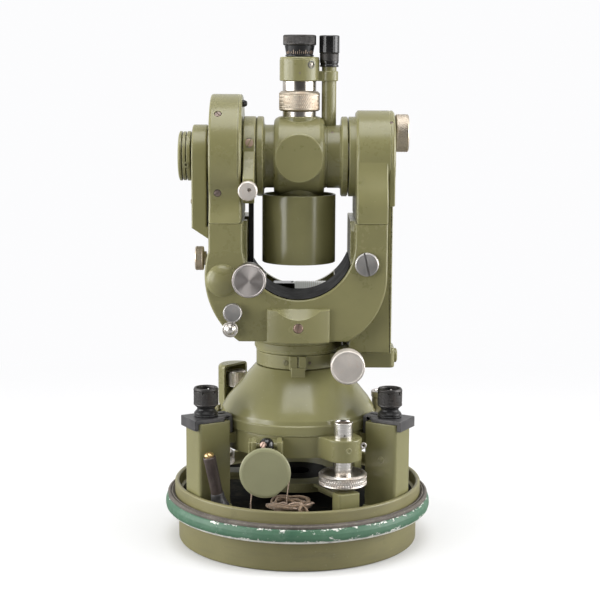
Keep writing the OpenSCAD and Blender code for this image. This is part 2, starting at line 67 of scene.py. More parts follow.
AXIS_Z = centre("trunnion_axle").z
CLAMPS = {"left": -150, "right": -30, "rear": 90}    # azimuths round the case base
FEET = {"front": -60, "rear": 60, "left": 180}
CIRCLE_KNOB = (142, 55)          # azimuth and distance from the vertical axis
CIRCULAR_LEVEL = (18, 61)
BAND_LOW = 20.5                  # lower edge of the green band
FLANGE_DROP = 4.2                # how far a clamp plate's lip hangs over its post
MIRROR_PIN = Vector((-19.6, -61, 77))
HINGE = (-72.2, 18.6)            # x and y of the illumination mirror's upright hinge
INVERTER = (43.5, 190.3)         # x and z of the controls on the yoke's front
LAMP = (-41.9, 159)
REFLECTOR = (-43.4, 148.5)
INDEX_KNOB_Z = 188.8
MICROMETER_Z = 272
BOSS_SCREW_Z = 149.7
COLLAR_AZIMUTH = 100             # of the azimuth clamp's screw
COLLAR_MID_Z = 123.5
MICROSCOPE_X = 19.3
BOWL_Z = 202.6                   # centre of the bowl that the telescope swings in


# ---- shapes: temporary objects in millimetres ----------------------------------

def new_object(bm, name="shape"):
    bmesh.ops.recalc_face_normals(bm, faces=bm.faces)
    mesh = bpy.data.meshes.new(name)
    bm.to_mesh(mesh)
    bm.free()
    obj = bpy.data.objects.new(name, mesh)
    bpy.context.scene.collection.objects.link(obj)
    return obj


def pose(at, axis):
    """The matrix that turns Z onto axis and carries the origin to the place given."""
    turn_to = Vector((0, 0, 1)).rotation_difference(Vector(axis)).to_matrix().to_4x4()
    return Matrix.Translation(Vector(at)) @ turn_to


def move(obj, at=(0, 0, 0), axis=(0, 0, 1)):
    obj.data.transform(pose(at, axis))
    return obj


def round_corners(points, closed, fillet):
    """Rounds a profile. Each point returned is (x, y, side): the index of the straight side it starts."""
    out = []
    count = len(points)
    for i, p in enumerate(points):
        radius = p[2] if len(p) > 2 else fillet
        at_end = not closed and i in (0, count - 1)
        if at_end or radius <= 0:
            out.append((p[0], p[1], i))
            continue
        b = Vector(p[:2])
        u = Vector(points[i - 1][:2]) - b
        w = Vector(points[(i + 1) % count][:2]) - b
        reach = min(u.length, w.length) * 0.48
        u.normalize()
        w.normalize()
        angle = math.acos(max(-1.0, min(1.0, u.dot(w))))
        if angle > math.radians(170) or angle < math.radians(5):
            out.append((p[0], p[1], i))
            continue
        t = min(radius / math.tan(angle / 2), reach)
        r = t * math.tan(angle / 2)
        middle = b + (u + w).normalized() * (r / math.sin(angle / 2))
        start = b + u * t - middle
        end = b + w * t - middle
        a0 = math.atan2(start.y, start.x)
        sweep = math.atan2(end.y, end.x) - a0
        sweep = (sweep + math.pi) % TAU - math.pi
        steps = max(2, int(abs(sweep) / math.radians(23)) + 1)
        for k in range(steps + 1):
            a = a0 + sweep * k / steps
            out.append((middle.x + r * math.cos(a), middle.y + r * math.sin(a), i if k == steps else None))
    return out


def tri(t):
    """A triangle wave between 0 and 1."""
    return 1 - abs(2 * (t - math.floor(t)) - 1)


def knurl_height(style, turn_share, along, count, pitch):
    a = turn_share * count
    if style == "diamond":
        b = along / pitch / 2
        return min(tri(a + b), tri(a - b))
    return tri(a)


def turned(points, seg=96, fillet=0.35, knurl=None):
    """A solid of revolution about Z. points are (radius, height[, fillet]).

    knurl is (side, style, count, depth, pitch), side being the profile's side that carries it."""
    closed = all(p[0] > 1e-6 for p in points)
    line = round_corners(points, closed, fillet)
    rings = []
    total = len(line)
    for j, (r, z, side) in enumerate(line):
        rings.append((r, z, 0.0))
        if knurl and side == knurl[0]:
            r1, z1, _ = line[(j + 1) % total]
            length = math.hypot(r1 - r, z1 - z)
            steps = max(2, int(round(length / knurl[4] * 4)))
            for k in range(1, steps):
                f = k / steps
                fade = min(1.0, k / 2, (steps - k) / 2)
                rings.append((r + (r1 - r) * f, z + (z1 - z) * f, fade))
    if knurl:
        seg = knurl[2] * (5 if knurl[2] > 30 else 8)
    bm = bmesh.new()
    loops = []
    for r, z, weight in rings:
        if r < 1e-6:
            loops.append([bm.verts.new((0, 0, z))])
            continue
        ring = []
        for s in range(seg):
            share = s / seg
            rr = r
            if weight:
                rr -= knurl[3] * weight * (1 - knurl_height(knurl[1], share, z, knurl[2], knurl[4]))
            ring.append(bm.verts.new((rr * math.cos(TAU * share), rr * math.sin(TAU * share), z)))
        loops.append(ring)
    pairs = list(zip(loops, loops[1:]))
    if closed:
        pairs.append((loops[-1], loops[0]))
    for a, b in pairs:
        for s in range(seg):
            t = (s + 1) % seg
            if len(a) == 1:
                bm.faces.new((a[0], b[s], b[t]))
            elif len(b) == 1:
                bm.faces.new((a[s], b[0], a[t]))
            else:
                bm.faces.new((a[s], b[s], b[t], a[t]))
    return new_object(bm)


def prism(outline, z0, z1, bevel=0.5, segments=3):
    """An outline in XY carried up from z0 to z1, with rounded rims."""
    bm = bmesh.new()
    low = [bm.verts.new((p[0], p[1], z0)) for p in outline]
    high = [bm.verts.new((p[0], p[1], z1)) for p in outline]
    count = len(outline)
    for i in range(count):
        j = (i + 1) % count
        bm.faces.new((low[i], low[j], high[j], high[i]))
    bm.faces.new(low)
    bm.faces.new(high)
    bmesh.ops.recalc_face_normals(bm, faces=bm.faces)
    if bevel > 0:
        rims = [e for e in bm.edges if abs(e.verts[0].co.z - e.verts[1].co.z) < 1e-6]
        bmesh.ops.bevel(bm, geom=rims, offset=bevel, segments=segments, profile=0.5,
                        affect="EDGES", clamp_overlap=False)
    return new_object(bm)


FRONT = Matrix(((1, 0, 0, 0), (0, 0, -1, 0), (0, 1, 0, 0), (0, 0, 0, 1)))
SIDE = Matrix(((0, 0, 1, 0), (1, 0, 0, 0), (0, 1, 0, 0), (0, 0, 0, 1)))


def front_slab(outline, y0, y1, bevel=0.5):
    """outline is (x, z); the slab lies between two depths."""
    obj = prism(outline, -y1, -y0, bevel)
    obj.data.transform(FRONT)
    return obj


def side_slab(outline, x0, x1, bevel=0.5):
    """outline is (y, z); the slab lies between two sideways places."""
    obj = prism(outline, x0, x1, bevel)
    obj.data.transform(SIDE)
    return obj


def rounded(points, fillet):
    return [(p[0], p[1]) for p in round_corners(points, True, fillet)]


def block(x, y, z, bevel=0.4):
    """A box from three pairs of limits, with rounded edges."""
    bm = bmesh.new()
    bmesh.ops.create_cube(bm, size=1)
    size = Vector((x[1] - x[0], y[1] - y[0], z[1] - z[0]))
    mid = Vector((x[0] + x[1], y[0] + y[1], z[0] + z[1])) / 2
    bm.transform(Matrix.Translation(mid) @ Matrix.Diagonal((*size, 1)))
    if bevel:
        bmesh.ops.bevel(bm, geom=list(bm.edges), offset=bevel, segments=3, profile=0.5,
                        affect="EDGES", clamp_overlap=True)
    return new_object(bm)


def ball(r, at, seg=40):
    bm = bmesh.new()
    bmesh.ops.create_uvsphere(bm, u_segments=seg, v_segments=seg // 2, radius=r)
    bm.transform(Matrix.Translation(Vector(at)))
    return new_object(bm)


def rod(r, a, b, seg=48, fillet=0.0):
    a, b = Vector(a), Vector(b)
    h = (b - a).length
    return move(turned([(0, 0), (r, 0), (r, h), (0, h)], seg, fillet), a, b - a)


def upright(r, z0, z1, seg=48):
    """A rod round the instrument's vertical axis."""
    return rod(r, (0, 0, z0), (0, 0, z1), seg)


def pillar(r, place, z0, z1, seg=48):
    """An upright rod at (azimuth, distance)."""
    return rod(r, polar(*place, z0), polar(*place, z1), seg)


def axle(r, x0, x1, seg=48):
    """A rod round the telescope's trunnion axis."""
    return rod(r, (x0, 0, AXIS_Z), (x1, 0, AXIS_Z), seg)


def on_trunnion(points, x=0.0, seg=96, fillet=0.35):
    """A turned shape round the trunnion axis, its heights measured sideways from x."""
    return move(turned(points, seg, fillet), (x, 0, AXIS_Z), (1, 0, 0))


def forward(r, place, y0, y1, seg=48):
    """A rod along the line of sight of the front view, at (x, z)."""
    return rod(r, (place[0], y0, place[1]), (place[0], y1, place[1]), seg)


def spin(obj, azimuth):
    """Turns a shape round the instrument's vertical axis."""
    obj.data.transform(Matrix.Rotation(math.radians(azimuth), 4, "Z"))
    return obj


def arc(cx, cy, r, a0, a1, step=3.0):
    """Points on an arc from angle a0 to a1, in degrees."""
    count = max(2, int(abs(a1 - a0) / step) + 1)
    angles = [math.radians(a0 + (a1 - a0) * k / (count - 1)) for k in range(count)]
    return [(cx + r * math.cos(a), cy + r * math.sin(a)) for a in angles]


def combine(base, others, operation):
    for o in others:
        m = base.modifiers.new("join", "BOOLEAN")
        m.operation = operation
        m.solver = "MANIFOLD"
        m.object = o
    depsgraph = bpy.context.evaluated_depsgraph_get()
    mesh = bpy.data.meshes.new_from_object(base.evaluated_get(depsgraph))
    if not mesh.polygons:
        raise RuntimeError("a boolean came out empty")
    base.modifiers.clear()
    base.data = mesh
    for o in others:
        bpy.data.objects.remove(o)
    return base


def union(base, *others):
    return combine(base, others, "UNION")


def cut(base, *others):
    return combine(base, others, "DIFFERENCE")


def common(base, *others):
    return combine(base, others, "INTERSECT")


def screw_head(r, height, slot_width, slot_angle, sunk=1.0):
    """A slotted head that stands height above z = 0."""
    head = turned([
        (0, -sunk), (r, -sunk), (r, height - r * 0.12, 0.2), (r * 0.8, height, 0.3), (0, height + 0.05)],
            40, 0.15)
    slot = block((-r * 1.2, r * 1.2), (-slot_width / 2, slot_width / 2), (height - 0.55, height + 1), 0)
    spin(slot, slot_angle)
    return cut(head, slot)


def soften(obj, limit=34):
    """Smooth faces with sharp edges past an angle, and normals that favour the large faces."""
    bm = bmesh.new()
    bm.from_mesh(obj.data)
    bmesh.ops.remove_doubles(bm, verts=bm.verts, dist=1e-3)
    bmesh.ops.dissolve_degenerate(bm, edges=bm.edges, dist=1e-3)
    for f in bm.faces:
        f.smooth = True
    for e in bm.edges:
        e.smooth = not (len(e.link_faces) == 2 and e.calc_face_angle(0) > math.radians(limit))
    bm.to_mesh(obj.data)
    bm.free()
    m = obj.modifiers.new("normals", "WEIGHTED_NORMAL")
    m.keep_sharp = True
    m.weight = 50


def piece(name, body, material, shape, replaces=(), at=(0, 0, 0), axis=(0, 0, 1), limit=34):
    """Names a finished shape, gives it its own origin and axis, a material and a body."""
    shape.name = name
    shape.data.name = name
    soften(shape, limit)
    shape.data.transform(Matrix.Scale(MM, 4) @ pose(at, axis).inverted())
    shape.matrix_world = pose(Vector(at) * MM, axis)
    shape.data.materials.clear()
    shape.data.materials.append(material)
    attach(shape, body)
    if replaces:
        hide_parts(*replaces)
    return shape


def fitted(name, body, material, shape, replaces=(), at=(0, 0, 0), axis=(0, 0, 1), limit=34):
    """A piece whose shape was made round its own Z, carried to its place and axis."""
    return piece(name, body, material, move(shape, at, axis), replaces, at, axis, limit)


# ---- materials ---------------------------------------------------------------------

class Shade:
    """A Principled material with short ways to add nodes."""

    def __init__(self, name, **values):
        self.material = bpy.data.materials.new(name)
        self.material.use_nodes = True
        self.tree = self.material.node_tree
        self.shader = self.tree.nodes["Principled BSDF"]
        for key, value in values.items():
            self.shader.inputs[key.replace("_", " ")].default_value = value

    def node(self, kind, **props):
        n = self.tree.nodes.new(kind)
        for key, value in props.items():
            setattr(n, key, value)
        return n

    def feed(self, socket, value):
        if isinstance(value, bpy.types.NodeSocket):
            self.tree.links.new(value, socket)
        else:
            socket.default_value = value

    def coords(self):
        return self.node("ShaderNodeTexCoord").outputs["Object"]

    def noise(self, scale, detail=3.0, rough=0.5, vector=None, distortion=0.0):
        n = self.node("ShaderNodeTexNoise")
        self.feed(n.inputs["Vector"], vector or self.coords())
        n.inputs["Scale"].default_value = scale
        n.inputs["Detail"].default_value = detail
        n.inputs["Roughness"].default_value = rough
        n.inputs["Distortion"].default_value = distortion
        return n.outputs["Fac"]

    def math(self, operation, a, b=0.0, clamp=False):
        n = self.node("ShaderNodeMath", operation=operation, use_clamp=clamp)
        self.feed(n.inputs[0], a)
        self.feed(n.inputs[1], b)
        return n.outputs[0]

    def steps(self, value, lo, hi, out_lo=0.0, out_hi=1.0):
        n = self.node("ShaderNodeMapRange")
        self.feed(n.inputs["Value"], value)
        for key, v in (("From Min", lo), ("From Max", hi), ("To Min", out_lo), ("To Max", out_hi)):
            n.inputs[key].default_value = v
        return n.outputs["Result"]

    def times(self, a, b):
        return self.math("MULTIPLY", a, b)

    def mix(self, a, b, share):
        n = self.node("ShaderNodeMix", data_type="RGBA")
        self.feed(n.inputs[0], share)
        self.feed(n.inputs[6], a)
        self.feed(n.inputs[7], b)
        return n.outputs[2]

    def scaled(self, x, y, z):
        n = self.node("ShaderNodeMapping")
        self.feed(n.inputs["Vector"], self.coords())
        n.inputs["Scale"].default_value = (x, y, z)
        return n.outputs["Vector"]

    def split(self):
        n = self.node("ShaderNodeSeparateXYZ")
        self.feed(n.inputs[0], self.coords())
        return n.outputs

    def radius(self):
        xyz = self.split()
        return self.math("SQRT", self.math("ADD", self.times(xyz[0], xyz[0]), self.times(xyz[1], xyz[1])))

    def ring_coords(self):
        """Coordinates that only change with the distance from the axis and the height."""
        xyz = self.split()
        n = self.node("ShaderNodeCombineXYZ")
        self.feed(n.inputs[0], self.radius())
        self.feed(n.inputs[1], xyz[2])
        return n.outputs[0]

    def edges(self, radius=0.7):
        """Near 1 on edges and corners, from the difference between rounded and true normals."""
        b = self.node("ShaderNodeBevel", samples=4)
        b.inputs["Radius"].default_value = radius * MM
        dot = self.node("ShaderNodeVectorMath", operation="DOT_PRODUCT")
        self.feed(dot.inputs[0], b.outputs[0])
        self.feed(dot.inputs[1], self.node("ShaderNodeNewGeometry").outputs["Normal"])
        return self.steps(dot.outputs["Value"], 0.99, 0.90)

    def bump(self, height, strength=0.3, distance=0.1, normal=None):
        n = self.node("ShaderNodeBump")
        n.inputs["Strength"].default_value = strength
        n.inputs["Distance"].default_value = distance * MM
        self.feed(n.inputs["Height"], height)
        if normal:
            self.feed(n.inputs["Normal"], normal)
        return n.outputs[0]

    def put(self, key, value):
        self.feed(self.shader.inputs[key], value)

    def colour(self, value):
        self.put("Base Color", value)

    def roughness(self, value):
        self.put("Roughness", value)

    def normal(self, value):
        self.put("Normal", value)


def rgb(r, g, b, k=1.0):
    return (r * k, g * k, b * k, 1)


def paint(name, r, g, b, gloss=0.25, edge_highlight_share=0.8, dirt=0.35, zones=None):
    """Olive enamel: faint orange peel, blotches of tone, paler edges that are partly wear and partly painted
    highlight, and a few specks.
    """
    s = Shade(name)
    blotch = s.noise(26, 4, 0.55)
    grain = s.noise(420, 3, 0.6)
    base = s.mix(rgb(r, g, b, 0.94), rgb(r, g, b, 1.07), s.steps(blotch, 0.36, 0.64))
    base = s.mix(base, rgb(r, g, b, 0.72), s.times(s.steps(s.noise(75, 5, 0.7), 0.62, 0.76), dirt))
    # paler edges: partly wear, partly painted highlight for the light caught along rims and fillets
    edge_wear_and_highlight = s.times(s.edges(), s.steps(s.noise(160, 4, 0.7), 0.3, 0.62, 0.35, 1.0))
    base = s.mix(base, rgb(r * 1.7 + 0.14, g * 1.7 + 0.14, b * 1.7 + 0.13), s.times(edge_wear_and_highlight, edge_highlight_share))
    specks = s.steps(s.noise(900, 2, 0.5), 0.735, 0.76)
    base = s.mix(base, rgb(0.52, 0.5, 0.4), s.times(specks, 0.35))
    if zones:
        base = zones(s, base)
    s.colour(base)
    s.roughness(s.math("ADD", s.steps(blotch, 0.3, 0.7, gloss - 0.05, gloss + 0.06),
                       s.times(grain, 0.06)))
    s.normal(s.bump(s.math("ADD", grain, s.times(s.noise(1500, 2), 0.4)), 0.22, 0.05))
    return s.material


def base_zones(s, base):
    """The base pan: painted shade inside it, near black, and dust and rubbed patches low on the drum."""
    deck = span("pan_supports")[0].z * MM
    height = s.split()[2]
    # near black inside the pan, with little reflection: painted shade for the shadowed interior
    inside = s.times(s.steps(s.radius(), 78.6 * MM, 78.3 * MM),
                     s.steps(height, deck - 4 * MM, deck - 3.9 * MM))
    base = s.mix(base, rgb(0.010, 0.010, 0.009), inside)
    s.put("IOR", s.steps(inside, 0, 1, 1.5, 1.03))
    streaks = s.noise(60, 6, 0.75, s.scaled(0.35, 0.35, 2.4))
    base = s.mix(base, rgb(0.13, 0.115, 0.07), s.times(s.steps(streaks, 0.5, 0.75), 0.55))
    marks = s.noise(330, 5, 0.8, s.scaled(0.25, 0.25, 1.6))
    low = s.steps(height, 22 * MM, 2 * MM, 0.25, 1.0)
    return s.mix(base, rgb(0.42, 0.40, 0.32), s.times(s.steps(marks, 0.66, 0.74), low))


def metal(name, r, g, b, rough, streak, tarnish, aniso=0.0):
    """Plated or ground metal with turning marks round its axis."""
    s = Shade(name, Metallic=1.0)
    rings = s.noise(2600, 2, 0.6, s.ring_coords())
    patch = s.noise(55, 4, 0.6)
    base = s.mix(rgb(r, g, b, 1 - tarnish * 0.5), rgb(r, g, b), s.steps(patch, 0.35, 0.65))
    base = s.mix(base, rgb(r * 0.8, g * 0.66, b * 0.55),
                 s.times(s.steps(s.noise(240, 4, 0.7), 0.55, 0.75), tarnish))
    s.colour(base)
    s.roughness(s.math("ADD", s.steps(patch, 0.3, 0.7, rough - 0.05, rough + 0.07), s.times(rings, 0.1)))
    if streak:
        s.normal(s.bump(rings, streak, 0.03))
    if aniso:
        s.put("Anisotropic", aniso)
        tangent = s.node("ShaderNodeTangent", direction_type="RADIAL", axis="Z")
        s.put("Tangent", tangent.outputs[0])
    return s.material


def knurled_metal(name, r, g, b, hollow, rough=0.34):
    """Knurled plating, darker in its hollows and lighter on its points."""
    s = Shade(name, Metallic=0.95)
    ao = s.node("ShaderNodeAmbientOcclusion", samples=4, only_local=True)
    ao.inputs["Distance"].default_value = 0.7 * MM
    open_share = s.steps(ao.outputs["AO"], 0.45, 0.95)
    patch = s.noise(120, 4, 0.65)
    base = s.mix(rgb(*hollow), rgb(r, g, b), open_share)
    base = s.mix(base, rgb(r * 0.85, g * 0.68, b * 0.55), s.times(s.steps(patch, 0.5, 0.72), 0.6))
    base = s.mix(base, rgb(*hollow), s.times(s.steps(s.noise(820, 2), 0.50, 0.62), 0.22))
    s.colour(base)
    s.roughness(s.steps(patch, 0.3, 0.7, rough - 0.06, rough + 0.1))
    s.normal(s.bump(s.noise(1800, 3), 0.3, 0.03))
    return s.material


def black_finish(name, tone=0.02, rough=0.32, metallic=0.0, rub=0.5, shine=0.5, index=1.5):
    """Black enamel or oxide, rubbed grey along its edges."""
    s = Shade(name, Metallic=metallic)
    patch = s.noise(90, 4, 0.6)
    base = s.mix(rgb(tone, tone, tone * 1.03), rgb(tone * 2.1, tone * 2.0, tone * 2.0),
                 s.steps(patch, 0.35, 0.7))
    rubbed = s.times(s.edges(0.5), s.steps(s.noise(350, 3, 0.7), 0.42, 0.62))
    base = s.mix(base, rgb(0.16, 0.155, 0.15), s.times(rubbed, rub))
    s.colour(base)
    s.roughness(s.steps(patch, 0.3, 0.7, rough - 0.06, rough + 0.1))
    s.normal(s.bump(s.noise(1400, 3), 0.2, 0.04))
    s.put("Specular IOR Level", shine)
    s.put("IOR", index)
    return s.material


def band_paint():
    """Green band: thick green paint, chipped to pale metal along both edges, more so at the front right."""
    s = Shade("band_green")
    xyz = s.split()
    z_low, z_high = BAND_LOW * MM, 29.9 * MM
    blotch = s.noise(30, 5, 0.6)
    green = s.mix(rgb(0.040, 0.115, 0.065), rgb(0.072, 0.165, 0.098), s.steps(blotch, 0.35, 0.65))
    pale = s.mix(green, rgb(0.17, 0.27, 0.20), s.times(s.steps(s.noise(95, 5, 0.75), 0.52, 0.72), 0.4))
    side = s.math("ADD", s.times(xyz[0], 5.2), s.times(xyz[1], -5.2))
    side = s.steps(side, -0.1, 0.62, 0.0, 0.20)
    near_top = s.steps(xyz[2], z_high - 2.6 * MM, z_high - 0.4 * MM, 0.0, 0.26)
    near_low = s.steps(xyz[2], z_low + 4.4 * MM, z_low + 1.0 * MM, 0.0, 0.36)
    edge = s.math("MAXIMUM", near_top, near_low)
    flakes = s.steps(s.noise(320, 7, 0.76, s.scaled(0.5, 0.5, 1.0)), 0.3, 0.7)
    mask = s.steps(s.math("ADD", s.math("ADD", flakes, edge), side), 1.0, 1.03)
    lip = s.steps(xyz[2], z_low + 1.5 * MM, z_low + 1.35 * MM)
    bare = s.math("MAXIMUM", mask, lip, True)
    metal_tone = s.mix(rgb(0.86, 0.86, 0.80), rgb(0.52, 0.52, 0.50), s.steps(s.noise(260, 3), 0.45, 0.7))
    s.colour(s.mix(pale, metal_tone, bare))
    s.put("Metallic", s.times(bare, 0.35))
    s.roughness(s.steps(bare, 0, 1, 0.5, 0.55))
    level = s.math("ADD", s.times(bare, -1.0), s.times(blotch, 0.3))
    s.normal(s.bump(level, 0.6, 0.18))
    return s.material


def gasket_rubber():
    """Brown rubber with pale dust."""
    s = Shade("gasket_rubber")
    patch = s.noise(60, 5, 0.65)
    base = s.mix(rgb(0.075, 0.064, 0.052), rgb(0.15, 0.13, 0.11), s.steps(patch, 0.35, 0.65))
    dust = s.steps(s.noise(500, 3, 0.7), 0.55, 0.7)
    s.colour(s.mix(base, rgb(0.3, 0.28, 0.25), s.times(dust, 0.4)))
    s.roughness(s.steps(patch, 0.3, 0.7, 0.5, 0.72))
    s.normal(s.bump(s.noise(1200, 3), 0.4, 0.05))
    return s.material


def optical_glass(name, tint=(0.9, 0.95, 0.93)):
    s = Shade(name, Roughness=0.03, IOR=1.5)
    s.put("Transmission Weight", 0.9)
    s.colour(s.mix(rgb(*tint), rgb(*tint, 0.92), s.steps(s.noise(40, 3), 0.4, 0.6)))
    s.roughness(s.steps(s.noise(300, 3), 0.45, 0.7, 0.02, 0.08))
    return s.material


def bronze(name, r, g, b, rough=0.35):
    return metal(name, r, g, b, rough, 0.25, 0.5)


def cord_fibre(name, r, g, b):
    s = Shade(name)
    fibre = s.noise(900, 4, 0.7, distortion=0.6)
    base = s.mix(rgb(r, g, b, 0.45), rgb(r, g, b, 1.25), s.steps(fibre, 0.35, 0.68))
    s.colour(s.mix(base, rgb(r, g, b, 0.25), s.steps(s.noise(160, 4, 0.7), 0.58, 0.8, 0, 0.7)))
    s.roughness(s.steps(fibre, 0.3, 0.7, 0.7, 0.9))
    s.put("Sheen Weight", 0.3)
    s.normal(s.bump(fibre, 0.9, 0.25))
    return s.material


def brown_tube():
    s = Shade("brown_tube", Metallic=0.3)
    patch = s.noise(120, 5, 0.7, s.scaled(1, 1, 0.4))
    s.colour(s.mix(rgb(0.045, 0.032, 0.028), rgb(0.11, 0.085, 0.075), s.steps(patch, 0.35, 0.68)))
    s.roughness(s.steps(patch, 0.3, 0.7, 0.3, 0.5))
    s.normal(s.bump(s.noise(900, 3), 0.3, 0.05))
    return s.material


def vial_glass():
    """A level vial seen from outside: pale liquid and tube with red graduation marks along its length, and a
    faint glow that is painted light for the light through the glass.
    """
    s = Shade("level_vial_glass", Roughness=0.08)
    along = s.split()[2]
    marks = s.steps(s.math("PINGPONG", along, 0.7 * MM), 0.5 * MM, 0.56 * MM)
    ends = s.steps(s.math("ABSOLUTE", along), 9.5 * MM, 9.6 * MM, 1.0, 0.0)
    base = s.mix(rgb(0.72, 0.74, 0.70), rgb(0.80, 0.81, 0.78), s.noise(200, 3))
    s.colour(s.mix(base, rgb(0.35, 0.05, 0.04), s.times(s.times(marks, ends), 0.5)))
    s.put("Coat Weight", 1.0)
    # a faint glow: painted light, so that the vial in its shaded recess looks lit from behind
    s.put("Emission Color", (0.9, 0.92, 0.88, 1))
    s.put("Emission Strength", 0.28)
    return s.material


OLIVE = paint("olive_paint", 0.218, 0.205, 0.092)
OLIVE_GLOSS = paint("olive_paint_gloss", 0.218, 0.207, 0.095, 0.17, 0.7, 0.15)
OLIVE_BASE = paint("olive_paint_base", 0.20, 0.182, 0.082, 0.34, 0.6, 0.6, base_zones)
# a paler copy of the olive paint for the circle mirror disc: painted light on the disc's face
OLIVE_PAINTED_LIGHT = paint("olive_paint_mirror_lit", 0.25, 0.248, 0.140, 0.40, 0.5, 0.15)
# a darker copy of the olive paint: painted shade, for the trivet down inside the pan and a few small parts
OLIVE_SHADED = paint("olive_paint_shaded", 0.17, 0.16, 0.075, 0.45, 0.4, 0.5)
BAND = band_paint()
RUBBER = gasket_rubber()
NICKEL = metal("nickel_satin", 0.62, 0.58, 0.55, 0.30, 0.2, 0.25)
NICKEL_FACE = metal("nickel_turned", 0.54, 0.50, 0.48, 0.35, 0.35, 0.25, aniso=0.9)
NICKEL_BRIGHT = metal("nickel_polished", 0.80, 0.77, 0.73, 0.17, 0.04, 0.12)
NICKEL_NECK = metal("nickel_neck", 0.60, 0.56, 0.51, 0.20, 0.04, 0.3)
NICKEL_AGED = metal("nickel_aged", 0.50, 0.485, 0.47, 0.42, 0.4, 0.6)
NICKEL_DOME = metal("nickel_dome", 0.80, 0.76, 0.71, 0.27, 0.0, 0.1)
NICKEL_ROUGH = metal("nickel_rough", 0.74, 0.69, 0.64, 0.55, 0.5, 0.35)
KNURL_NICKEL = knurled_metal("nickel_knurled", 0.70, 0.66, 0.61, (0.17, 0.14, 0.12))
KNURL_COPPERY = knurled_metal("nickel_knurled_worn", 0.56, 0.49, 0.40, (0.15, 0.12, 0.09), 0.46)
KNURL_BLACK = knurled_metal("black_knurled", 0.075, 0.072, 0.07, (0.012, 0.012, 0.012), 0.45)
BLACK = black_finish("black_enamel", 0.014, 0.30, 0.0, 0.5, 0.3)
BLACK_DEEP = black_finish("black_lining", 0.004, 0.4, 0.0, 0.15, 0.2, 1.1)
BLACK_SATIN = black_finish("black_oxide", 0.055, 0.40, 0.4, 0.7)
BLACK_GLOSS = black_finish("black_gloss", 0.008, 0.10, 0.0, 0.1)
SCREW_DARK = metal("screw_dark", 0.34, 0.275, 0.245, 0.55, 0.3, 0.6)
SCREW_COPPER = metal("screw_coppery", 0.46, 0.33, 0.27, 0.45, 0.3, 0.6)
GOLD = bronze("brass_tip", 0.75, 0.52, 0.25, 0.22)
BROWN_TUBE = brown_tube()
STEEL = metal("ground_steel", 0.5, 0.5, 0.5, 0.3, 0.3, 0.2)
BRONZE = bronze("bearing_bronze", 0.5, 0.36, 0.18)
GLASS = optical_glass("optical_glass")
VIAL = vial_glass()
CORD = cord_fibre("cord_hemp", 0.30, 0.205, 0.13)
CORD_PALE = cord_fibre("cord_pale", 0.62, 0.46, 0.35)


# ---- transport case base ----------------------------------------------------------

def case_base():
    outer = span("base_pan")[1]
    band_r, rim_z = outer.x, outer.z
    drum_r = band_r - 8.8
    rim_r = drum_r + 2.5
    deck = span("pan_supports")[0].z
    band_z, band_top = BAND_LOW, span("rim_gasket")[0].z
    pan = turned([
        (0, deck - 2.5), (drum_r - 2.5, deck - 2.5), (drum_r - 2.5, 2.5), (drum_r - 9, 2.5),
        (drum_r - 9, 0), (drum_r, 0, 1.2), (drum_r, band_z + 0.4), (drum_r + 1.6, band_z + 1.2),
        (drum_r + 1.6, band_top - 1.4), (rim_r, band_top - 0.4, 0.2), (rim_r, rim_z, 1.3),
        (rim_r - 3, rim_z, 1.3), (rim_r - 3, deck + 1.6, 1.4), (rim_r - 5, deck), (0, deck)], 180, 0.5)
    piece("base_pan_steel", "case_base", OLIVE_BASE, pan, ["base_pan"])
    band = turned([
        (drum_r + 1.2, band_z), (band_r - 2.2, band_z, 0.2), (band_r - 1.2, band_z + 1.4, 0.2),
        (band_r - 0.5, band_z + 1.7, 0.5), (band_r, band_z + 3.6, 2.5),
        (band_r - 0.15, band_top - 3.2, 2.5), (band_r - 1.0, band_top - 0.7, 1.0),
        (band_r - 1.7, band_top, 0.4), (rim_r - 0.2, band_top, 0.2), (drum_r + 1.2, band_top - 1.6)], 240,
            0.2)
    piece("base_band_painted", "case_base", BAND, band)
    g_lo, g_hi = span("rim_gasket")
    gasket = turned([
        (rim_r + 0.05, g_lo.z), (g_hi.x - 0.2, g_lo.z), (g_hi.x - 0.2, g_hi.z - 0.9),
        (g_hi.x - 1.2, g_hi.z - 0.2), (rim_r + 3.1, g_hi.z - 0.2, 0.1), (rim_r + 2.9, g_hi.z - 1.0, 0.1),
        (rim_r + 2.4, g_hi.z - 1.0, 0.1), (rim_r + 2.2, g_hi.z, 0.3), (rim_r + 1.5, g_hi.z, 0.3),
        (rim_r + 1.3, g_hi.z - 0.9, 0.1), (rim_r + 0.8, g_hi.z - 0.9, 0.1), (rim_r + 0.7, g_hi.z - 0.2)],
            180, 0.25)
    piece("rim_gasket_rubber", "case_base", RUBBER, gasket, ["rim_gasket"])


def pan_supports():
    lo, hi = span("pan_supports")
    foot, top = lo.z - 1.0, hi.z
    shapes = []
    for azimuth in CLAMPS.values():
        outline = rounded([(56.5, -10.5), (79.2, -10.5, 2.2), (79.2, 10.5, 2.2), (56.5, 10.5)], 1.0)
        post = prism(outline, foot, top, 0.6)
        weld = rounded([(55.2, -11.7), (79.4, -11.7), (79.4, 11.7), (55.2, 11.7)], 2.0)
        weld = prism(weld, foot, foot + 2.2, 1.0)
        rivets = [move(turned([(0, -1), (2.0, -1), (2.0, 0.25), (1.3, 0.7), (0, 0.75)], 24, 0.2),
                       (68.5, side * 10.5, 63), (0, side, 0)) for side in (-1, 1)]
        bolt = rod(2.9, (69, 0, top - 20), (69, 0, top + 1))
        post = cut(union(post, weld, *rivets), bolt)
        shapes.append(spin(post, azimuth))
    for azimuth in FEET.values():
        outline = rounded([(63, -7.5), (73.5, -7.5), (73.5, 7.5), (63, 7.5)], 1.4)
        rest = prism(outline, foot, 46.5, 0.8)
        shapes.append(spin(rest, azimuth - 3))
    piece("pan_posts_and_rests", "case_base", OLIVE_GLOSS, union(*shapes), ["pan_supports"])


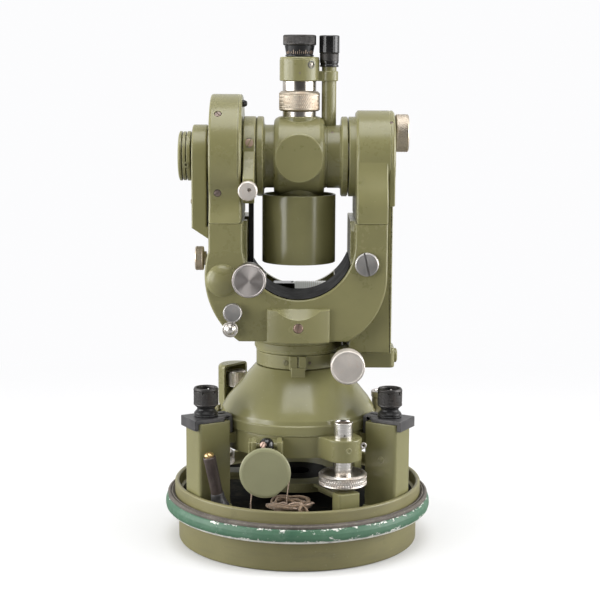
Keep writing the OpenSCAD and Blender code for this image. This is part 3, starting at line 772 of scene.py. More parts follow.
def clamp(name, azimuth):
    post_top = span("pan_supports")[1].z
    hook_node, knob = "clamp_hook_" + name, "clamp_knob_" + name
    claw_z = span(hook_node)[0].z
    z0 = post_top + 0.05
    z1 = z0 + 2.6
    plate = rounded([(60, -10.5), (82.2, -10.5, 0.6), (82.2, 10.5, 0.6), (60, 10.5)], 2.0)
    plate = prism(plate, z0, z1, 0.4)
    flange = block((79.3, 82.2), (-10.5, 10.5), (post_top - FLANGE_DROP, z1), 0.5)
    nose = rounded([(52.6, -6.5), (64, -6.5, 0.1), (64, 6.5, 0.1), (52.6, 6.5)], 1.6)
    nose = prism(nose, z0, z1 + 0.4, 0.6)
    claw = block((52.6, 56.3), (-6.5, 6.5), (claw_z, z1), 0.7)
    slot = prism(rounded([(54.8, -1.5), (60.5, -1.5), (60.5, 1.5), (54.8, 1.5)], 1.4), z0 - 1, z1 + 2, 0)
    bore = rod(3.05, (69, 0, z0 - 2), (69, 0, z1 + 2))
    hook = cut(union(plate, flange, nose, claw), slot, bore)
    spin(hook, azimuth)
    piece("clamp_hook_plate_" + name, hook_node, BLACK_SATIN, hook, [hook_node])

    k_lo, k_hi = span(knob)
    base, top = z1 + 0.05, k_hi.z - 1.3
    at = polar(azimuth, 69)
    body = turned([
        (0, k_lo.z), (2.9, k_lo.z), (2.9, base), (7.6, base), (7.9, base + 0.9, 0.3),
        (7.2, base + 1.5, 0.1), (7.9, base + 2.1, 0.3), (7.3, base + 3.0, 0.3), (5.9, base + 4.4, 1.2),
        (5.7, base + 5.8, 1.2), (7.4, base + 7.2), (0, base + 7.3)], 72, 0.25)
    grip = turned([
        (0, base + 7.1), (7.2, base + 7.1), (8.1, base + 7.9, 0.2), (8.1, top - 1.3, 0.2), (7.5, top, 0.4),
        (6.4, top, 0.5), (5.9, top - 1.2, 0.4), (5.9, base + 13.6, 0.6), (0, base + 13.6)], 96, 0.3,
        (2, "diamond", 48, 0.32, 1.06))
    cross = [rod(0.75, polar(a, 4, top - 2.8), polar(a, 9, top - 2.8), 16) for a in range(20, 360, 60)]
    grip = cut(grip, *cross)
    fitted("clamp_screw_" + name, knob, BLACK, body, [knob], at)
    fitted("clamp_grip_" + name, knob, KNURL_BLACK, grip, (), at, limit=50)


# ---- levelling base -----------------------------------------------------------------

def lobes(core, discs, soft=2):
    """Outline round a centred circle and discs (azimuth, distance, radius), its hollows softened."""
    count = 720
    radii = []
    for i in range(count):
        t = TAU * i / count
        r = core
        for azimuth, distance, size in discs:
            phi = t - math.radians(azimuth)
            across = distance * math.sin(phi)
            if math.cos(phi) > 0 and abs(across) < size:
                r = max(r, distance * math.cos(phi) + math.sqrt(size * size - across * across))
        radii.append(r)
    for _ in range(soft):
        radii = [sum(radii[(i + k) % count] for k in range(-3, 4)) / 7 for i in range(count)]
    return [(r * math.cos(TAU * i / count), r * math.sin(TAU * i / count)) for i, r in enumerate(radii)]


def foot_distance():
    return centre("foot_screw_front").xy.length


def tribrach():
    foot_r = foot_distance()
    top = span("lower_housing")[0].z
    z0 = top - 14.5
    discs = [(a, foot_r, 12.2) for a in FEET.values()]
    discs += [(*CIRCLE_KNOB, 12.2), (*CIRCULAR_LEVEL, 9)]
    body = prism(lobes(51, discs), z0, top, 0.9)
    skirt = cut(upright(46, z0 - 2, top - 5, 96),
                upright(18, z0 - 3, top, 48),
                *[pillar(12.2, (a, foot_r), z0 - 3, top) for a in FEET.values()])
    extras = []
    for azimuth in CLAMPS.values():
        lug = block((48, 56), (-6, 6), (70.9, 77.9), 0.5)
        extras.append(spin(lug, azimuth))
    pin_x, pin_y, pin_z = MIRROR_PIN
    extras.append(block((-31.4, -9.4), (-55.5, -44), (66.8, 77.5), 0.7))
    for cheek_x in (pin_x - 8, pin_x + 8):
        extras.append(block((cheek_x - 1.6, cheek_x + 1.6), (-63.5, -50), (72.6, 79.5), 0.6))
    extras.append(rod(1.95, (pin_x - 9, pin_y, pin_z), (pin_x + 9, pin_y, pin_z), 24))
    # front foot boss: a round plug and a small eyelet
    at = polar(FEET["front"], foot_r)
    plug_dir = Vector((0.28, -0.96, 0))
    plug = turned([(0, -1), (1.9, -1), (1.9, 0.35), (1.3, 0.5), (1.1, 0.1), (0, 0.1)], 28, 0.15)
    extras.append(move(plug, at + plug_dir * 12.1 + Vector((0, 0, top - 6.5)), plug_dir))
    shape = cut(union(body, *extras), skirt, upright(13.9, z0 - 3, top + 3, 64),
                *[pillar(4.6, (a, foot_r), z0 - 3, top + 3) for a in FEET.values()],
                pillar(2.6, CIRCLE_KNOB, top - 9, top + 3))
    piece("tribrach_casting", "case_base", OLIVE, shape, ["tribrach"])
    eye = turned([(0.9, -0.7), (2.1, -0.7), (2.1, 0.7), (0.9, 0.7)], 32, 0.4)
    fitted("tribrach_eyelet", "case_base", NICKEL, eye, (), at + Vector((12.9, -4.2, top - 4.5)),
           (0.2, -1, 0))


def foot_screws():
    foot_r = foot_distance()
    for name, azimuth in FEET.items():
        node = "foot_screw_" + name
        lo, hi = span(node)
        at = polar(azimuth, foot_r)
        disc_z0, disc_z1, neck = 48.6, 57.0, 65.3
        disc = turned([
            (0, disc_z0), (13.8, disc_z0), (15.6, disc_z0 + 1.1, 0.2), (15.6, disc_z1 - 1.1, 0.2),
            (14.5, disc_z1, 0.3), (13.4, disc_z1, 0.3), (12.4, disc_z1 - 1.3, 0.6), (6, disc_z1 - 1.5),
            (0, disc_z1 - 1.5)], 96, 0.3, (2, "diamond", 60, 0.5, 1.65))
        fitted("foot_disc_" + name, node, KNURL_NICKEL, disc, [node], at, limit=50)
        shaft = turned([
            (0, lo.z), (2.6, lo.z + 0.6, 1.5), (3.9, lo.z + 3.4, 2.0), (4.4, lo.z + 4.2),
            (4.4, disc_z0 + 1), (4.4, disc_z1 - 2.0), (6.2, disc_z1 - 2.0), (6.2, neck), (4.5, neck),
            (4.5, hi.z), (0, hi.z)], 72, 0.3)
        fitted("foot_shaft_" + name, node, NICKEL_BRIGHT, shaft, (), at)
        c_lo, c_hi = span("foot_screw_caps")
        cap = turned([
            (0, c_hi.z - 2.1), (5.1, c_hi.z - 2.1), (5.1, c_lo.z), (6.3, c_lo.z),
            (6.3, c_hi.z - 0.2, 0.5), (5.7, c_hi.z, 0.3), (5.3, c_hi.z - 0.1, 0.2),
            (5.0, c_hi.z - 0.9, 0.2), (0, c_hi.z - 1.1)], 72, 0.25)
        hole = rod(0.65, at + Vector((0.9, -8, c_lo.z + 2.2)), at + Vector((0.3, -3, c_lo.z + 2.2)), 20)
        piece("foot_cap_" + name, "case_base", NICKEL_BRIGHT, cut(move(cap, at), hole),
              ["foot_screw_caps"] if name == "front" else (), (at.x, at.y, 0))
        lid = turned([
            (0, c_hi.z - 1.15), (4.9, c_hi.z - 0.95), (4.9, c_hi.z - 0.75), (0, c_hi.z - 0.85)], 48, 0.05)
        fitted("foot_cap_lid_" + name, "case_base", SCREW_DARK, lid, (), at)


def trivet():
    lo, hi = span("trivet_plate")
    plate_z = hi.z - 6
    arms = []
    for azimuth in FEET.values():
        arm = prism(rounded([(10, -6.9), (60.7, -6.9, 6.8), (60.7, 6.9, 6.8), (10, 6.9)], 0.3),
                    hi.z - 2.4, hi.z, 0.6)
        rib = prism(rounded([(10, -4.5), (50, -3.2), (50, 3.2), (10, 4.5)], 0.5), plate_z, hi.z - 2, 0.4)
        arms.append(spin(union(arm, rib), azimuth))
    disc = upright(34, plate_z, hi.z, 96)
    plate = cut(union(disc, *arms), upright(21.5, lo.z - 5, hi.z + 5, 64))
    piece("trivet_spring_plate", "case_base", OLIVE_SHADED, plate, ["trivet_plate"])
    hub = turned([
        (7.94, lo.z), (22, lo.z), (22, plate_z - 1), (21.6, plate_z), (21.6, hi.z), (7.94, hi.z)], 72,
            0.4)
    piece("trivet_hub", "case_base", BLACK_DEEP, hub)


def lower_housing():
    lo, hi = span("lower_housing")
    r = 52.0
    shape = turned([
        (r - 2, lo.z), (r - 0.5, lo.z, 0.2), (r - 0.5, lo.z + 0.5, 0.1), (r, lo.z + 0.8, 0.3),
        (r, 86.2, 0.7), (r - 0.7, 86.9, 0.3), (50.9, 89.6, 3), (47.3, 95.5, 9), (38.6, 106.2, 9),
        (34.6, 111, 5), (28.3, 118.4, 0.8), (20.95, 118.6), (20.95, hi.z, 0.3), (14, hi.z), (14, 114.6),
        (26, 114.6), (35.5, 105), (45, 93), (r - 2, 88)], 160, 0.4)
    piece("circle_housing", "case_base", OLIVE_GLOSS, shape, ["lower_housing"])


def circle_controls():
    at = polar(*CIRCLE_KNOB)
    lo, hi = span("circle_knob_cover")
    shell = turned([
        (0, hi.z - 1.4), (10.7, hi.z - 1.5), (10.7, lo.z), (12.2, lo.z), (12.2, hi.z, 2.6), (0, hi.z)],
            72, 0.3)
    move(shell, at)
    window = block((-14, 0.2), (-14, 14), (lo.z + 1.2, hi.z + 1), 0)
    window.data.transform(Matrix.Translation(at) @ Matrix.Rotation(math.radians(CIRCLE_KNOB[0]), 4, "Z"))
    shell = cut(shell, window)
    piece("circle_knob_guard", "case_base", OLIVE, shell, ["circle_knob_cover"], (at.x, at.y, 0))
    k_lo, k_hi = span("circle_setting_knob")
    knob = turned([
        (0, k_lo.z), (2.5, k_lo.z), (2.5, 82), (5.4, 82), (5.4, 85), (2.5, 85), (2.5, 95), (6.2, 95),
        (6.8, 95.6, 0.1), (6.8, k_hi.z - 0.7, 0.1), (6.2, k_hi.z), (0, k_hi.z)], 64, 0.25,
            (8, "straight", 40, 0.3, 1.0))
    fitted("circle_knob_turned", "circle_setting_knob", KNURL_NICKEL, knob, ["circle_setting_knob"], at,
           limit=50)
    l_lo, l_hi = span("circular_level")
    at = polar(*CIRCULAR_LEVEL)
    cup = turned([
        (0, l_lo.z), (7.4, l_lo.z), (7.8, l_lo.z + 1.4), (7.2, l_lo.z + 3.5), (7.2, l_hi.z - 4.5),
        (7.8, l_hi.z - 3.5), (7.8, l_hi.z, 0.6), (6.1, l_hi.z, 0.4), (6.0, l_hi.z - 1.2),
        (0, l_hi.z - 1.4)], 72, 0.3)
    fitted("circular_level_cup", "case_base", NICKEL, cup, ["circular_level"], at)
    lens = turned([
        (0, l_hi.z - 1.5), (5.9, l_hi.z - 1.3), (5.9, l_hi.z - 0.7), (3, l_hi.z - 0.25, 3),
        (0, l_hi.z - 0.1)], 48, 0.2)
    fitted("circular_level_glass", "case_base", GLASS, lens, (), at)


def circle_mirror():
    lo, hi = span("circle_mirror")
    pin, r = MIRROR_PIN, (hi.x - lo.x) / 2
    mid = Vector(((lo.x + hi.x) / 2, lo.y, lo.z + r))
    disc = move(turned([
        (0, 0), (r - 2.3, 0), (r - 1.9, -0.05, 0.2), (r - 0.5, 0.45, 0.5), (r, 1.1, 0.5), (r, 2.4, 0.5),
        (r - 0.9, 3.0), (0, 3.0)], 120, 0.25), mid, (0, 1, 0))
    corner = block((mid.x + 4, mid.x + 40), (lo.y - 2, lo.y + 9), (mid.z - 20, mid.z + 20), 0)
    corner.data.transform(Matrix.Translation(mid) @ Matrix.Rotation(math.radians(45), 4, "Y")
                          @ Matrix.Translation(Vector((r * 0.93 - 4, 0, 0)) - mid))
    disc = cut(disc, corner)
    piece("circle_mirror_disc", "circle_mirror", OLIVE_PAINTED_LIGHT, disc, ["circle_mirror"], mid, (0, 1, 0))
    web = block((pin.x - 3.6, pin.x + 3.6), (lo.y + 2.4, pin.y - 1), (pin.z - 6.2, pin.z - 1.6), 0.6)
    arm = cut(union(ball(4.9, pin), web), rod(2.05, pin - Vector((8, 0, 0)), pin + Vector((8, 0, 0)), 24))
    piece("circle_mirror_joint", "circle_mirror", BLACK_GLOSS, arm, (), pin, (1, 0, 0))
    head = screw_head(2.1, 1.1, 0.55, 40)
    toward = Vector((-0.45, -0.85, 0.25)).normalized()
    fitted("circle_mirror_screw", "circle_mirror", SCREW_COPPER, head, (), pin + toward * 4.5, toward)


# ---- alidade --------------------------------------------------------------------------

def yoke_outline(half_open, foot_z, seam, left, right):
    """Front view of the fork: outer curve, flat underside and the bowl that the telescope swings in."""
    cx, cz = 7.5, 182.5
    r_left, r_right = 52.5, 49.3
    drop = cz - foot_z
    start_left = 180 - math.degrees(math.acos((left - cx) / r_left))
    end_left = 180 + math.degrees(math.asin(drop / r_left))
    start_right = -math.degrees(math.asin(drop / r_right))
    pts = [(-left, seam)]
    pts += arc(-cx, cz, r_left, start_left, end_left)
    pts += arc(cx, cz, r_right, start_right, 0)
    pts += [(right, seam), (half_open, seam)]
    pts += arc(0, BOWL_Z, half_open, 0, -180)
    pts += [(-half_open, seam)]
    return pts


def front_boss(foot_z):
    """The pad over the vertical axis: rounded in front, scooped so that its top slopes down to the front."""
    boss_top, boss_r, boss_half = 161.2, 47.5, 20
    a = math.degrees(math.asin(boss_half / boss_r))
    corner_y = -math.sqrt(boss_r ** 2 - boss_half ** 2)
    boss_line = [(-boss_half, -39), (-boss_half, corner_y)]
    boss_line += arc(0, 0, boss_r, -90 - a, -90 + a, 2.0)[1:-1]
    boss_line += [(boss_half, corner_y), (boss_half, -39)]
    boss = prism(rounded([(x, y, 1.0 if abs(x) > 19.9 and y < -39.5 else 0.0) for x, y in boss_line], 0.0),
                 foot_z, boss_top, 0.7)
    slope = Vector((0, -7.5, -6.0)).normalized()
    over = Vector((0, -60, 186))
    scoop = rod(32, over - slope * 30, over + slope * 40, 180)
    return cut(boss, scoop)


def yoke():
    foot_z, seam, depth = 139.8, span("yoke")[1].z, 40.0
    outer = yoke_outline(35.9, foot_z, seam, 57.5, 56.8)
    body = front_slab(outer, -depth, depth, 1.5)
    pad_line = rounded([(-27, 186), (-27, seam - 6), (-21, seam), (38.4, seam), (38.4, 186)], 0.8)
    pads = [side_slab(pad_line, x0, x1, 0.4) for x0, x1 in ((-37, -33.4), (33.4, 37))]
    flange = turned([
        (0, 128.7), (28.4, 128.7), (28.4, 130.2, 0.1), (29.2, 130.6, 0.3), (29.2, 134.6, 0.4),
        (28.6, 135.4, 0.2), (29.2, 136.0, 0.3), (29.2, 141), (0, 141)], 120, 0.3)
    boss = front_boss(foot_z)
    v_drive = centre("vertical_drive_knob")
    h_drive = centre("horizontal_drive_knob")
    stubs = [forward(7, (v_drive.x, v_drive.z), -50, -38),
             forward(5, (v_drive.x, v_drive.z), -41, -13),
             forward(7, (h_drive.x, h_drive.z), -55, -18)]
    dome = move(turned([
        (0, -2), (10.4, -2), (10.4, 0.1), (10.0, 1.2, 0.6), (8.8, 2.6, 3.0), (6.2, 4.1, 4.0),
        (3.2, 4.95, 4.0), (0, 5.3)], 72, 0.2), (-48.5, -depth, 179.4), (0, -1, 0))
    shape = union(body, *pads, flange, boss, *stubs, dome)
    holes = [
        block((-36, -28.5), (-13, 9), (173, seam + 2), 0),
        block((-54, -40), (-22, 34), (168, seam - 8), 0),
        block((-22, 24), (10, 34), (164, 200), 0),
        upright(9, 128, 149.8),
        forward(3.05, (v_drive.x, v_drive.z), -51, -5.9, 32),
        forward(3.05, (h_drive.x, h_drive.z), -56, -20, 32),
        forward(3.05, INVERTER, -41, -31, 32),
        forward(2.05, LAMP, -41, -31, 24),
        forward(2.05, REFLECTOR, -41, -31, 24),
        rod(2.55, (-62, 0, INDEX_KNOB_Z), (-53, 0, INDEX_KNOB_Z), 24),
        forward(3.4, (0, BOSS_SCREW_Z), -50, -46.6, 32),
    ]
    shape = cut(shape, *holes)
    piece("yoke_casting", "alidade", OLIVE, shape, ["yoke"], (0, 0, foot_z))
    screw = screw_head(3.1, 0.5, 0.75, 80)
    fitted("front_boss_screw", "alidade", SCREW_COPPER, screw, ["case_screws"], (0, -47.0, BOSS_SCREW_Z),
           (0, -1, 0))


def plate_level():
    lo, hi = span("plate_level")
    mid = centre("plate_level")
    vial = move(turned([(0, -12), (2.4, -12), (3.4, -10.6, 1.5), (3.4, 10.6, 1.5), (2.4, 12), (0, 12)],
                       40, 0.3), mid, (1, 0, 0))
    piece("level_vial", "alidade", VIAL, vial, ["plate_level"], mid, (1, 0, 0))
    tray = union(block((lo.x - 14, hi.x - 1), (mid.y - 7, mid.y + 7), (158, mid.z - 1.2), 1.0),
                 block((lo.x - 14, lo.x + 1.5), (mid.y - 7, mid.y + 7), (158, mid.z + 2.6), 1.2))
    tray = cut(tray, rod(3.7, mid - Vector((13, 0, 0)), mid + Vector((20, 0, 0)), 48))
    piece("level_tray", "alidade", BLACK_GLOSS, tray, (), (0, mid.y, mid.z))
    # a thin near-black sheet over the bowl's inner face: partly the black level housing, partly painted
    # shade for the shadow down in the bowl
    strip = arc(0, BOWL_Z, 35.85, -158, -22, 3) + arc(0, BOWL_Z, 35.35, -22, -158, 3)
    black_and_shade_sheet = front_slab(strip, -38.2, 33, 0.1)
    black_and_shade_sheet = cut(black_and_shade_sheet, block((-22.5, 24.5), (9.5, 34.5), (150, 200), 0))
    piece("bowl_black_and_shade_sheet", "alidade", BLACK_DEEP, black_and_shade_sheet, (), (0, 0, BOWL_Z))


def front_slope(tilt):
    """The outward direction on a drum's front, tilt degrees below the level of its axis."""
    return Vector((0, -math.cos(math.radians(tilt)), -math.sin(math.radians(tilt))))


def drum_outline(axis_z, r, foot):
    """Side view of a drum on its column: foot is the column's right half from the bottom up."""
    pts = [(y, z) for y, z in foot]
    y, z = foot[-1]
    a0 = math.degrees(math.atan2(z - axis_z, y))
    a1 = 180 - a0
    pts += arc(0, axis_z, r, a0, a1, 2.5)
    pts += [(-y, z) for y, z in reversed(foot)]
    return pts


def circle_drum():
    lo, hi = span("circle_drum")
    r, seam, mid_x = hi.z - AXIS_Z, lo.z, -51.7
    meet = math.radians(28)
    foot = [(40, seam), (39.0, seam + 2.6), (37.4, seam + 5.6), (36.1, seam + 9), (35.4, seam + 12.5),
            (35.1, seam + 16), (35.3, seam + 19), (r * math.cos(meet), AXIS_Z - r * math.sin(meet))]
    body = side_slab(drum_outline(AXIS_Z, r, foot), lo.x, hi.x, 1.6)
    groove_x = hi.x - 2.4
    groove = cut(on_trunnion([(0, 0), (r + 3, 0), (r + 3, 0.7), (0, 0.7)], groove_x, 120, 0),
                 on_trunnion([(0, -1), (r - 0.35, -1), (r - 0.35, 3), (0, 3)], groove_x, 120, 0))
    groove = common(groove, block((lo.x - 1, hi.x + 1), (-50, 50), (AXIS_Z - 12, AXIS_Z + 60), 0))
    hollow = [axle(37.5, lo.x + 2.5, hi.x - 6.2, 96),
              axle(13, hi.x - 7, hi.x + 1, 64),
              axle(8, lo.x - 1, lo.x + 3, 48)]
    seats = []
    for tilt in (-44.5, 34.5):
        out = front_slope(tilt)
        at = Vector((mid_x, 0, AXIS_Z)) + out * r
        if tilt > 0:    # this one sits on the straight part of the column
            at = Vector((mid_x, -35.3, at.z + 1.2))
            out = Vector((0, -1, 0))
        seats.append(rod(2.6, at - out * 0.9, at + out * 3, 32))
        head = screw_head(2.25, 0.0, 0.6, 38 if tilt > 0 else -52)
        tag = "low" if tilt > 0 else "high"
        fitted("circle_drum_screw_" + tag, "alidade", SCREW_DARK, head, (), at - out * 0.12, out)
    shape = cut(body, groove, *hollow, *seats)
    piece("circle_drum_cover", "alidade", OLIVE, shape, ["circle_drum"], (lo.x, 0, AXIS_Z), (1, 0, 0))
    nub = turned([(0, -1), (2.3, -1), (2.3, 1.2, 0.8), (1.5, 3.0, 0.8), (0, 3.3)], 32, 0.3)
    at = Vector((hi.x, -12, AXIS_Z + 34.5))
    fitted("circle_drum_nub", "alidade", BLACK, nub, (), at, (1, 0, 0))


def cover_plate():
    x0, x1 = -69.5, -59.7
    r = 20.5
    pts = [(r, 211)] + arc(0, AXIS_Z, r, 0, 180, 4) + [(-r, 211)]
    plate = side_slab(pts, x0, x1, 1.0)
    step = on_trunnion([(0, 0), (17, 0), (17, 3), (0, 3)], x1 - 0.8, 96, 0.2)
    nose = front_slab([(x0, 211.6), (x0, 211), (-58.9, 204), (-58.9, 211.6)], -r, r, 0.3)
    knuckles = []
    kx, ky = HINGE
    for z in (247.5, 261.5):
        knuckles.append(rod(2.4, (kx, ky, z), (kx, ky, z + 4), 32))
        knuckles.append(block((kx, x0 + 1), (ky - 2.4, ky + 1), (z, z + 4), 0.3))
    knuckles.append(rod(1, (kx, ky, 248), (kx, ky, 265), 20))
    shape = union(plate, step, nose, *knuckles)
    piece("circle_cover_plate", "alidade", OLIVE, shape, ["cover_plate"], (x0, 0, AXIS_Z), (1, 0, 0))
    stud = turned([(0, -0.8), (1.6, -0.8), (1.6, 0.5), (1.2, 1.0), (0, 1.0)], 24, 0.2)
    fitted("cover_plate_stud", "alidade", SCREW_DARK, stud, (), (x0, -12, 227.5), (-1, 0, 0))


def illumination_mirror():
    x0, x1 = span("illumination_mirror")[0].x, -70.6
    cap = on_trunnion([
        (0, 0), (12.6, 0), (13.0, 0.5, 0.2), (14.4, 0.2, 0.4), (16.2, 0.9, 0.4), (16.2, 2.3, 0.2),
        (13.2, 2.4, 0.1), (13.2, 3.1, 0.1), (16.0, 3.2, 0.2), (16.0, 5.0, 0.2), (13.2, 5.1, 0.1),
        (13.2, 5.8, 0.1), (16.2, 5.9, 0.2), (16.2, x1 - x0 - 0.3, 0.4), (15.4, x1 - x0), (0, x1 - x0)],
            x0, 96, 0.3)
    kx, ky = HINGE
    knuckle = rod(2.4, (kx, ky, 252), (kx, ky, 261), 32)
    web = block((-74.6, -71.4), (14, ky), (252.4, 260.6), 0.3)
    shape = cut(union(cap, knuckle, web), rod(1.05, (kx, ky, 250), (kx, ky, 263), 20))
    piece("illumination_cap", "illumination_mirror", OLIVE, shape, ["illumination_mirror"],
          (x0, 0, AXIS_Z), (1, 0, 0))
    ring = turned([(0.8, -0.6), (1.9, -0.6), (1.9, 0.6), (0.8, 0.6)], 28, 0.3)
    fitted("illumination_cap_eye", "illumination_mirror", OLIVE_SHADED, ring, (), (-73, -15.6, AXIS_Z - 5),
           (0, -1, 0))


def micrometer_drum():
    lo, hi = span("micrometer_drum")
    r, seam, x0 = 30.2, lo.z, 36.8
    width = hi.x - x0
    body = on_trunnion([
        (0, 0), (r - 1.6, 0), (r, 1.4, 0.8), (r, width - 3.4, 0.1), (r - 0.35, width - 3.2, 0.1),
        (r - 0.35, width - 2.8, 0.1), (r, width - 2.6, 0.1), (r, width - 1.2, 0.8),
        (r - 1.4, width), (0, width)], x0, 144, 0.3)
    foot = [
        (40, seam), (40, 225), (39.5, 229), (38.6, 232.5), (37.2, 236), (35.5, 239.5), (33.8, 243),
        (32.3, 246.5), (31.1, 250), (30.2, 254), (29.6, AXIS_Z + 2)]
    pts = foot + [(0, AXIS_Z + 8)] + [(-y, z) for y, z in reversed(foot)]
    column = side_slab(pts, x0, 57, 1.4)
    ring = on_trunnion([(12.9, 0), (26.1, 0), (26.1, 5), (12.9, 5)], 32.3, 96, 0.5)
    skirt = side_slab([(-28.5, 226.2), (28.5, 226.2), (29.6, AXIS_Z), (-29.6, AXIS_Z)], 57.6, 61.7, 0.9)
    hollow = [axle(13, 32, 43, 64), axle(26, 43, 59.5, 96),
              rod(3.05, (58, 0, MICROMETER_Z), (63, 0, MICROMETER_Z), 32)]
    seats = []
    for tilt in (-50, 45):
        out = front_slope(tilt)
        at = Vector((59.2, 0, AXIS_Z)) + out * r
        head = screw_head(1.15, 0.0, 0.35, 30)
        tag = "low" if tilt > 0 else "high"
        fitted("micrometer_drum_screw_" + tag, "alidade", SCREW_DARK, head, (), at - out * 0.25, out)
        seats.append(rod(1.3, at - out * 0.8, at + out * 2, 24))
    shape = cut(union(body, column, ring, skirt), *hollow, *seats)
    piece("micrometer_drum_cover", "alidade", OLIVE, shape, ["micrometer_drum"], (x0, 0, AXIS_Z), (1, 0, 0))


def right_side():
    lo, hi = span("rear_box")
    pts = rounded([
        (33, 130), (60.5, 130), (60.5, 226), (57, 226), (57, 216), (40, 216), (40, 168), (33, 160)], 0.4)
    box = front_slab(pts, lo.y, hi.y, 1.0)
    piece("rear_box_cover", "alidade", OLIVE, box, ["rear_box"], (50, 0, 130))
    piece("rear_box_web", "alidade", OLIVE, block((30, 36), (12, hi.y - 4), (124, 142), 0.5), (),
          (33, 0, 130))
    b_lo, b_hi = span("lower_bracket")
    body = prism(rounded([(b_lo.x, b_lo.y), (64.2, b_lo.y, 3), (64.2, b_hi.y, 3), (b_lo.x, b_hi.y)], 0.4),
                 b_lo.z, b_hi.z, 1.2)
    end = move(turned([(0, 0), (4.8, 0), (4.8, 1.8, 0.5), (3.4, 2.5, 0.3), (2.6, 2.1, 0.2), (0, 2.1)], 40,
                      0.2), (64, 3, 123.3), (1, 0, 0))
    slot = block((65.5, 68), (2.5, 3.5), (119.5, 127), 0)
    pin = rod(1.5, (60.4, -2, 129), (60.4, -2, 131.4), 24)
    piece("lower_bracket_casting", "alidade", OLIVE, cut(union(body, end, pin), slot), ["lower_bracket"],
          (50, 0, 120))


def knob_on_front(node, profile, material, knurl=None, extra=None, limit=34):
    """A knob whose axis points to the operator, its profile measured back from its front face."""
    lo, hi = span(node)
    at = Vector(((lo.x + hi.x) / 2, lo.y, (lo.z + hi.z) / 2))
    shape = move(turned(profile, 96, 0.25, knurl), at, (0, 1, 0))
    if extra:
        shape = extra(shape, at)
    return piece(node + "_turned", node, material, shape, [node], at, (0, 1, 0), limit)


def drive_knobs():
    for node, depth, material in (("vertical_drive_knob", 11.8, NICKEL_FACE),
                                  ("horizontal_drive_knob", 11.0, NICKEL_ROUGH)):
        knob_on_front(node, [
            (0, 0.35), (9.3, 0.25), (9.7, 0, 0.15), (10.3, 0, 0.25), (10.8, 0.7, 0.3), (10.8, depth - 0.8),
            (10.2, depth), (8.6, depth), (8.4, 3), (3.1, 3), (3.1, 1.6), (0, 1.6)], material)


def small_front_knobs():
    def slotted(shape, at):
        slot = block((-9, 9), (-0.6, 2.0), (-0.6, 0.6), 0)
        slot.data.transform(Matrix.Translation(at) @ Matrix.Rotation(math.radians(77), 4, "Y"))
        return cut(shape, slot)

    knob_on_front("inverter_knob", [(0, 0), (6.7, 0.02), (7.6, 0.6, 0.3), (7.6, 2.9), (3, 3), (3, 10.8),
                                    (0, 10.8)], NICKEL_AGED, None, slotted)
    knob_on_front("lamp_knob", [
        (0, 0.3), (5.0, 0.25), (5.4, 0), (5.7, 0), (6.1, 0.5, 0.1), (6.1, 4.4, 0.1), (5.6, 5), (2, 5),
        (2, 12.8), (0, 12.8)], NICKEL_AGED, (4, "straight", 40, 0.22, 1.0), None, 50)
    face_y, mid = span("lamp_knob")[0].y, centre("lamp_knob")
    for i, a in enumerate((172, -8, -92)):
        around = polar(a, 5.5)
        at = Vector((mid.x + around.x, face_y + 1.6, mid.z + around.y))
        pin = turned([(0, 0), (0.75, 0), (0.75, 0.8), (0, 0.9)], 16, 0.15)
        fitted("lamp_knob_pin_%d" % i, "lamp_knob", SCREW_DARK, pin, (), at, (0, -1, 0))
    knob_on_front("reflector_button", [
        (0, 0), (1.7, 0.3, 2.0), (3.1, 1.5, 1.5), (3.3, 2.6, 0.8), (4.2, 2.9, 0.3), (4.8, 2.3, 0.3),
        (5.1, 3.0, 0.3), (5.1, 5.3), (2, 5.5), (2, 11.3), (0, 11.3)], NICKEL_DOME)


def side_knobs():
    face = span("micrometer_knob")[1].x
    shape = move(turned([
        (0, 52), (3, 52), (3, 62.9), (11.6, 62.9), (12.35, 63.6, 0.1), (12.35, face - 0.8, 0.1),
        (11.6, face, 0.3), (0, face)], 96, 0.25, (4, "diamond", 70, 0.25, 1.1)), (0, 0, MICROMETER_Z),
            (1, 0, 0))
    piece("micrometer_knob_turned", "micrometer_knob", KNURL_COPPERY, shape, ["micrometer_knob"],
          (face, 0, MICROMETER_Z), (1, 0, 0), 50)
    face = span("index_level_knob")[0].x
    shape = move(turned([
        (0, -54), (2.5, -54), (2.5, -61.0), (4.6, -61.2), (4.6, -62.6), (7.4, -63.0), (8, -63.5, 0.1),
        (8, face + 0.7, 0.1), (7.4, face), (0, face)], 96, 0.2, (6, "diamond", 46, 0.22, 1.1)),
            (0, 0, INDEX_KNOB_Z), (1, 0, 0))
    piece("index_knob_turned", "index_level_knob", KNURL_COPPERY, shape, ["index_level_knob"],
          (face, 0, INDEX_KNOB_Z), (1, 0, 0), 50)


def clamp_rod(r, near, far, seg):
    """A rod along the azimuth clamp's screw, between two distances from the vertical axis."""
    return rod(r, polar(COLLAR_AZIMUTH, near, COLLAR_MID_Z), polar(COLLAR_AZIMUTH, far, COLLAR_MID_Z), seg)


